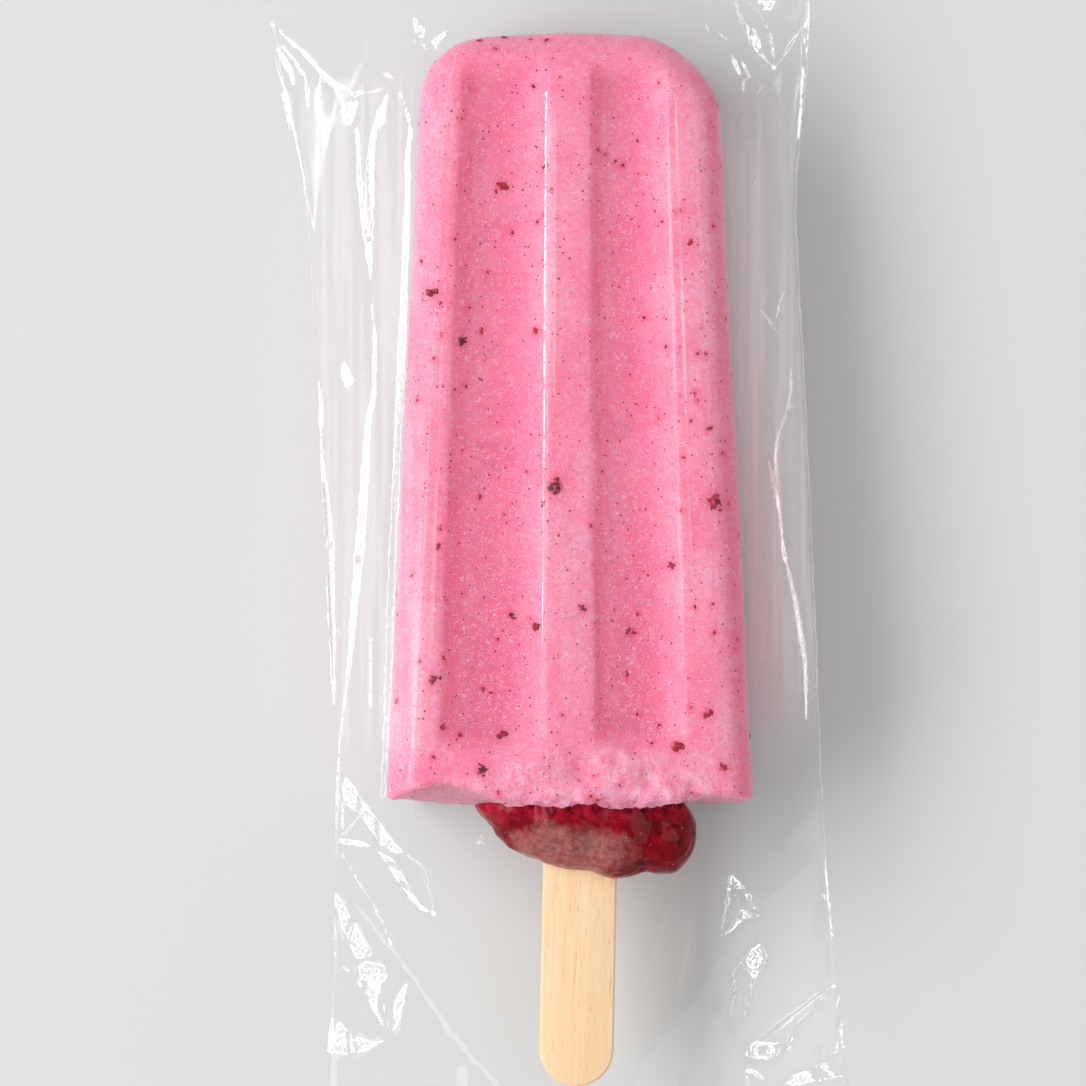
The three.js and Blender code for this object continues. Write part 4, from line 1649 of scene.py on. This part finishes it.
# %% Facets
FACETS = [
    # left of the tip
    [(-28.6, 62.1), (-27.8, 62.5), (-26.9, 62.1), (-26.8, 61.1), (-27.2, 60.1), (-27.8, 59.5),
     (-28.6, 60.3), (-28.9, 61.4)],
    [(-22.5, 64), (-22.7, 62.4), (-22.8, 60.7), (-23.2, 59.4), (-24.4, 58.8), (-24.2, 61.1),
     (-23.3, 62.1)],
    [(-19.5, 73.5), (-18.5, 73.3), (-17.9, 72.2), (-17.8, 70.9), (-18.5, 70), (-19.3, 69.9),
     (-19, 71.4), (-19.4, 72.5)],
    [(-19, 69.9), (-17.6, 69.7), (-16.2, 69), (-16.6, 68.6), (-17.8, 69.2)],
    [(-17, 69.9), (-15.9, 70.9), (-14.7, 71.4), (-15.7, 70.1), (-16.4, 68.9)],
    [(-23.7, 66.2), (-22.5, 66), (-21.3, 65.3), (-22.5, 65.5)],
    # left margin
    [(-28.8, 27.7), (-28.5, 28.8), (-28, 28), (-26.7, 25.9), (-27.6, 25.7), (-28.1, 25.2),
     (-28.7, 26.5)],
    # right of the tip
    [(24.3, 72.2), (25.2, 71.9), (25.7, 70.9), (26, 69.5), (25.2, 69.2), (24.5, 70.7)],
    [(25.4, 75.9), (28.2, 75.9), (27.3, 74.6), (26, 74.6)],
    # below the base, left
    [(-28.3, -25.4), (-26.9, -26.7), (-25.9, -28.2), (-26.1, -30.3), (-26.9, -29.9), (-28.4,
     -28.8), (-28.7, -26.7)],
    [(-25.9, -28.2), (-23.5, -31.2), (-23.5, -34.2), (-25.2, -31.8), (-26.1, -30.3)],
    [(-23.5, -31.2), (-21.4, -33.9), (-20.3, -35), (-22, -35), (-23.3, -34.8), (-23.5, -34.2)],
    [(-29.2, -33.4), (-26, -33.7), (-24.4, -34.5), (-26.3, -34.4), (-29.1, -34.2)],
    [(-24.2, -34.6), (-22, -35.8), (-20.9, -37.4), (-22.5, -36.9)],
    [(-22.5, -36.9), (-20.9, -37.4), (-19.5, -40.2), (-20.9, -39.6)],
    [(-20.9, -39.6), (-19.5, -40.2), (-18.2, -42), (-16.5, -43.2), (-18.5, -42.5)],
    [(-30.1, -39.9), (-29, -41.5), (-27.1, -44.5), (-27.9, -47.3), (-29, -44.6)],
    [(-27.1, -44.5), (-24.6, -48.5), (-25.5, -49.2), (-26.9, -49.3), (-27.9, -47.3)],
    [(-26.9, -50.2), (-25.5, -49.5), (-23.3, -49.9), (-22.6, -51.5), (-23.6, -52.3), (-25.5,
     -52.3), (-26.5, -51.8)],
    [(-25.5, -52.3), (-23.6, -52.3), (-24.1, -54.7), (-24.4, -56.7), (-25.2, -54.2)],
    [(-20.1, -52.3), (-20.9, -53.1), (-22, -55), (-22.4, -59.4), (-21.4, -57.5), (-20.5,
     -54.8)],
    [(-29.2, -57.2), (-27.4, -59.1), (-27.2, -61.6), (-28.2, -61.9), (-30.6, -61.4), (-29.8,
     -59.1)],
    [(-27.2, -59.2), (-24.6, -60.2), (-22.5, -59.6), (-24.6, -60.6), (-27, -61.6)],
    [(-10.2, -30.6), (-10.9, -33.5), (-9.9, -33.9)],
    # below the base, right
    [(22, -37.7), (23.4, -39.3), (24.2, -40.4), (23.3, -40), (22.4, -39.6), (21.8, -39.1)],
    [(24.2, -40.3), (24.8, -41.1), (24.2, -41.4), (23.5, -40.4)],
    [(23.2, -42.5), (25.8, -43.5), (23.8, -43.9), (21.3, -46), (22.8, -43.5)],
    [(26, -47.2), (24.4, -48), (23.4, -49.7), (23.8, -50.5), (24.8, -51.5), (25.8, -50.9),
     (26.4, -49.9), (26.7, -48.6)],
    [(24.1, -61.9), (24.6, -60.3), (26.8, -60.1), (28.9, -60.1), (27.8, -61.4), (25.6, -62.3)],
    [(34.6, -62.7), (36.6, -64.7), (33.8, -65.1), (32.5, -63.7)],
    [(32.5, -63.7), (33.8, -65.1), (30.9, -65.7), (28.6, -65.7), (29.6, -64.5)],
    [(36.3, -59.9), (36.8, -60.8), (35.1, -62.1), (35.4, -60.6)],
]
print("facets:", len(FACETS))

# %% [markdown]
# ## The upper layer
#
# The upper layer is built in this order: the smooth form, the hang over the flutes, the waves, the
# facets and the fold lines. Then each point is held clear of the pop, the lump and the stick under
# it. Last comes one fine fold along the middle ridge, which being held clear would flatten.

# %% Shape the upper layer
FLUTE_SAG = 0.65


def lay_waves(x, y, z, waves):
    """Adds waves to the heights: each has a height, where it lies, two sizes and a seed."""
    for height, where, across, along, seed in waves:
        z += height * where * soft_waves(x, y, across, along, seed)


film_front, at = film_grid("film_front", front_columns, front_rows)
column, along = np.meshgrid(front_columns, front_rows)
x, y, z, lower, out = sleeve_form(column, along)

body_share = body_share_at(x, y)
on_pop = smoothstep(y, BASE_Y + 2, BASE_Y + 12) * smoothstep(TIP_Y - 3 - y, 0, 6)
sag = sum(dome(body_share, centre, half_width) for centre, half_width in FLUTES)
z -= FLUTE_SAG * sag * on_pop

in_margin = smoothstep(out, 0.08, 0.3) * (1 - smoothstep(out, 0.93, 1.0))
front_waves = [
    (0.22, in_margin * on_pop, 2.6, 17.0, 5),
    (0.5, in_margin * (1 - on_pop), 7.0, 8.0, 6),
    (0.12, in_margin, 2.2, 3.1, 7),
    (0.05, (1 - in_margin) * on_pop, 2.3, 6.0, 8),
]
lay_waves(x, y, z, front_waves)
print("before the creases, highest:", round(float(z.max()), 2))

# %% [markdown]
# The slopes are measured between the facets and the fold lines, because a fold line's ramp has to
# reach its tilt whatever the slope of the film is under it.

# %% Lay the creases
NO_GLEAM = -1.5
EDGE_GLEAM = 0.32

gleam = np.full_like(z, NO_GLEAM)
for outline in FACETS:
    lay_facet(x, y, z, gleam, outline)
slope_x, slope_y = slopes(x, y, z)
for widths, line in FOLD_LINES:
    lay_fold(x, y, z, gleam, slope_x, slope_y, widths, line)
# the right folded side gets a narrow gleam as well: a painted glint line along it
_, side_right = sleeve_sides(along)
gleam = np.maximum(gleam, np.where(x > 0, EDGE_GLEAM - (side_right - x), NO_GLEAM))
print("points inside a crease:", int((gleam > 0).sum()))

# %% [markdown]
# The raised places are widened and softened, so that the film stands off a bump like a tent and
# isn't pressed round it.

# %% Hold the upper layer clear of what it covers
FILM_OVER = 0.12
TENT_ROUNDS = 6
# its place as a share of the body's half width, and its width in millimetres
RIDGE_FOLD, RIDGE_FOLD_WIDTH = -0.158, 0.34


def spread(raised, rounds):
    """Widens and softens the raised places of a grid."""
    for step in range(rounds):
        padded = np.pad(raised, 1, mode="edge")
        windows = [
            padded[i : i + raised.shape[0], j : j + raised.shape[1]]
            for i in range(3)
            for j in range(3)
        ]
        raised = np.maximum.reduce(windows) if step < rounds // 2 else sum(windows) / 9
    return raised


def top_under(x, y):
    """The highest point of the pop, the lump and the stick under each grid point."""
    top = np.full(x.shape, -1.0)
    graph = bpy.context.evaluated_depsgraph_get()
    for piece in (pop, lump, stick):
        tree_of_piece = BVHTree.FromObject(piece, graph)
        for row, col in zip(*np.nonzero(around(x, y, np.array(piece.bound_box) / MM))):
            above = Vector((x[row, col] * MM, y[row, col] * MM, TALLEST * MM))
            hit = tree_of_piece.ray_cast(above, DOWN)[0]
            if hit is not None:
                top[row, col] = max(top[row, col], hit.z / MM)
    return top


covered = top_under(x, y)
raise_by = np.maximum(covered + FILM_OVER - z, 0)
z += spread(raise_by, TENT_ROUNDS)
z = np.maximum(z, covered + FILM_OVER)
slope_x, slope_y = slopes(x, y, z)
ends = [(BODY_AXIS_X + RIDGE_FOLD * half_width_at(v), v) for v in (TIP_Y - 8, BASE_Y + 14)]
lay_fold(x, y, z, gleam, slope_x, slope_y, (RIDGE_FOLD_WIDTH,) * 3, ends)
write_points(film_front, np.stack([x, y, z], axis=-1)[at])
shade(film_front)
print("upper layer:", len(film_front.data.polygons), "faces, highest", round(float(z.max()), 2))

# %% [markdown]
# Film that has been stretched or rubbed isn't quite clear. Fine wrinkles run along it, and they
# show as pale veils. The film's material reads them as numbers that each point stores:
#
# - `sheen` is the veil on the right, a dull mirror for the white card,
# - one number holds the veil that scatters light in the left margin and the painted highlights
#   on the ridges: soft pale lines and bands,
# - one number says how much the mirror is tinted pink, a painted reflection of the pop beside it,
# - `mirroring` is how much of the plain mirror shows, less over the lump and near one corner,
# - `gleam` is how deep inside a facet or a fold the point lies, made slightly ragged,
# - `taut` is how tightly the film lies on the ridges, which dims a fold there.

# %% Store the veils of the upper layer
# painted highlights on the ridges: place and width as shares of the body's half width, and strength
RIDGE_LINES = [
    (-0.785, 0.011, 0.32),
    (-0.128, 0.024, 0.24),
    (-0.095, 0.009, 0.2),
    (0.64, 0.010, 0.44),
    (0.7, 0.011, 0.5),
]

wrinkles = 0.55 * soft_waves(x, y, 0.5, 14, 21) + 0.45 * soft_waves(x, y, 1.0, 30, 22)
streaks = smoothstep(wrinkles, -0.4, 0.6)
on_right = smoothstep(x, 0, 10)
outer = smoothstep(out, 0.12, 0.5)
off_tip = smoothstep(TIP_Y + 4 - y, 0, 24) * smoothstep(y, BASE_Y + 1, BASE_Y + 24)
sheen = in_margin * off_tip * on_right * (0.07 + outer * (0.21 + 0.17 * streaks))

low_on_body = (1 - smoothstep(y, -8, 30)) * on_pop
haze = in_margin * on_pop * (1 - on_right) * (0.03 + 0.14 * streaks)
# painted sheen by the left rim and a pale band on the middle ridge, low on the body
haze += low_on_body * 0.15 * band(body_share, -0.88, 0.09) * (0.5 + 0.5 * streaks)
haze += low_on_body * 0.1 * band(body_share, 0, 0.07) * (0.5 + 0.5 * streaks)
along_ridge = smoothstep(TIP_Y - 6 - y, 0, 8) * smoothstep(y, BASE_Y + 8, BASE_Y + 40)
for share, width, strength in RIDGE_LINES:
    line = band(body_share, share, width)
    haze += on_pop * along_ridge * strength * line * (0.25 + 0.75 * streaks)

# painted reflection: beside the pop's right side the film's mirror is tinted pink
blush = on_right * on_pop * band(out, 0.3, 0.35) * (1 - 0.6 * smoothstep(y, -10, 40))
off_lump = smoothstep(oval(x, y, (4, -32), (15, 9)), 0.9, 2.2)
by_corner = np.exp(-((x + 25.5) ** 2 + (y - 67) ** 2) / 20)
on_ridges = on_pop * (1 - smoothstep(np.abs(body_share), 0.84, 0.92))
tightness = 0.66 + 0.2 * smoothstep(-y, -25, 0) + 0.14 * soft_waves(x, y, 2.0, 6.0, 24)
mirroring = (0.35 + 0.65 * off_lump) * (1 - 0.95 * by_corner)
ragged_gleam = gleam + 0.1 * soft_waves(x, y, 1.3, 1.3, 23) - 0.05
store(
    film_front,
    sheen=sheen[at],
    haze=haze[at],
    blush=blush[at],
    mirroring=mirroring[at],
    gleam=ragged_gleam[at],
    taut=(on_ridges * tightness)[at],
)

# %% [markdown]
# ## The lower layer
#
# The lower layer is pressed flat under the pop and rises to the folded sides. It meets the upper
# layer along them. It is seen through the upper layer, so a coarser grid will do.

# %% Shape the lower layer
LOWEST_BACK = 0.05
LEAST_GAP = 0.02
# how much of the mirror shows in the right and in the left margin
BACK_MIRRORING = (2.4, 0.35)

film_back, at = film_grid("film_back", back_columns, back_rows)
column, along = np.meshgrid(back_columns, back_rows)
x, y, upper, z, out = sleeve_form(column, along)
in_margin = smoothstep(out, 0.05, 0.3) * (1 - smoothstep(out, 0.93, 1.0))
on_pop = smoothstep(y, BASE_Y + 1, BASE_Y + 22) * smoothstep(TIP_Y - 3 - y, 0, 6)
back_waves = [
    (0.25, in_margin * on_pop, 3.0, 20.0, 15),
    (0.45, in_margin * (1 - on_pop), 6.0, 7.0, 16),
]
lay_waves(x, y, z, back_waves)
z = np.clip(z, LOWEST_BACK, upper - LEAST_GAP)
write_points(film_back, np.stack([x, y, z], axis=-1)[at])
mirroring = np.where(x > 0, *BACK_MIRRORING) * (0.15 + 0.85 * in_margin * on_pop)
store(film_back, mirroring=mirroring[at])
edit_all(film_back)
bpy.ops.mesh.flip_normals()
leave_edit()
shade(film_back)
print("lower layer:", len(film_back.data.polygons), "faces, lowest", round(float(z.min()), 2))

# %% [markdown]
# ## Clear film, as a material
#
# Film is nearly all clear. What shows is what its two faces mirror: a few hundredths of the light
# straight on, and far more at a low angle. So the shader is a bright mirror that is mostly
# transparent, and Fresnel says how much of the mirror shows. Light that only passes through on its
# way to the floor is hardly dimmed, so shadow and diffuse rays see a still thinner film. Fine
# wrinkles scatter light, so where the film is stretched or creased the mirror is duller and
# stronger. In the creases the film is also made partly white and more opaque, which paints a
# glint on top of what their tilted facets mirror.

# %% Build the film material
FILM_TINT = (0.97, 0.975, 0.98, 1.0)
# the pink of the painted reflection of the pop in the film
FILM_BLUSH = (1.0, 0.4, 0.48, 1.0)
MOST_MIRROR = 0.11
FACE_GAIN = 0.35
GLEAM_STRENGTH = 0.75
MOST_COVER = 0.85
LET_THROUGH = 0.85
# how far inside a crease its bright rim lies, in millimetres, and how bright rim and veins are
RIM_DEPTH = 0.04
RIM_SHARE, VEIN_SHARE = 0.85, 0.6
HAZE_DULLS, SHEEN_DULLS = 9.0, 4.0


def film_finish(film, name, is_upper):
    """Clear film: its mirror, and on the upper layer its gleaming creases and its veils."""
    material, tree = start_material(name)
    shader = tree.nodes["Principled BSDF"]
    mirror = add_node(tree, "ShaderNodeFresnel", {"IOR": 1.5}).outputs[0]
    strength = maths(tree, "MINIMUM", times(tree, mirror, FACE_GAIN), MOST_MIRROR)
    strength = times(tree, strength, stored(tree, "mirroring"))
    feed(tree, shader, {"Base Color": FILM_TINT, "Metallic": 1.0, "Roughness": 0.05})
    if is_upper:
        place = object_millimetres(tree)
        crumple_noise = noise(tree, place, 1.3, 1.0, 0.65)
        ragged = remap(tree, crumple_noise, 0.3, 0.7, -0.1, 0.1)
        depth = plus(tree, stored(tree, "gleam"), ragged)
        inside = remap(tree, depth, -0.06, 0.0)
        rim = remap(tree, from_level(tree, depth, RIM_DEPTH), 0.06, 0.14, RIM_SHARE, 0.0)
        veins = remap(tree, from_level(tree, crumple_noise, 0.5), 0.006, 0.04, VEIN_SHARE, 0.0)
        # painted glint: inside a crease its rim and veins turn the film partly white and more
        # opaque
        gleam = times(tree, inside, maths(tree, "MAXIMUM", rim, veins))
        slack = maths(tree, "SUBTRACT", 1.0, stored(tree, "taut"))
        gleam = times(tree, gleam, slack)
        # the stored veil also carries the painted highlights on the ridges
        sheen, haze = stored(tree, "sheen"), stored(tree, "haze")
        strength = plus(tree, strength, times(tree, gleam, GLEAM_STRENGTH))
        strength = plus(tree, strength, plus(tree, sheen, haze))
        scatter = maths(tree, "MAXIMUM", gleam, times(tree, haze, HAZE_DULLS))
        dull = maths(tree, "MAXIMUM", scatter, times(tree, sheen, SHEEN_DULLS))
        # the base colour carries the painted pink reflection beside the pop
        feed(
            tree,
            shader,
            {
                "Base Color": mix_colour(tree, stored(tree, "blush"), FILM_TINT, FILM_BLUSH),
                "Roughness": remap(tree, dull, 0.0, 1.0, 0.03, 0.4),
                "Metallic": remap(tree, scatter, 0.0, 1.0, 1.0, 0.35),
            },
        )
    rays = add_node(tree, "ShaderNodeLightPath")
    passing = maths(tree, "MAXIMUM", rays.outputs["Is Shadow Ray"], rays.outputs["Is Diffuse Ray"])
    thinned = maths(tree, "SUBTRACT", 1.0, times(tree, passing, LET_THROUGH))
    cover = maths(tree, "MINIMUM", strength, MOST_COVER)
    coat(film, material, {"Alpha": times(tree, cover, thinned)})


film_finish(film_front, "clear_film", True)
film_finish(film_back, "clear_film_under", False)

# %% [markdown]
# ## Join the pieces to the solid model
#
# Each new piece rides on the root body, and the solid that it stands for is hidden.

# %% Attach every piece
for piece, node_name, slot_name in (
    (pop, "frozen_body", "frozen_yogurt"),
    (fruit_bits, "frozen_body", "frozen_fruit"),
    (lump, "fruit_lump", "frozen_fruit"),
    (stick, "wooden_stick", "birch"),
    (film_front, "film_sleeve", "clear_film"),
    (film_back, "film_sleeve", "clear_film"),
):
    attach(piece, "root")
    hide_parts(node_name)
    print(piece.name, "->", node_name, len(piece.data.polygons), "faces")
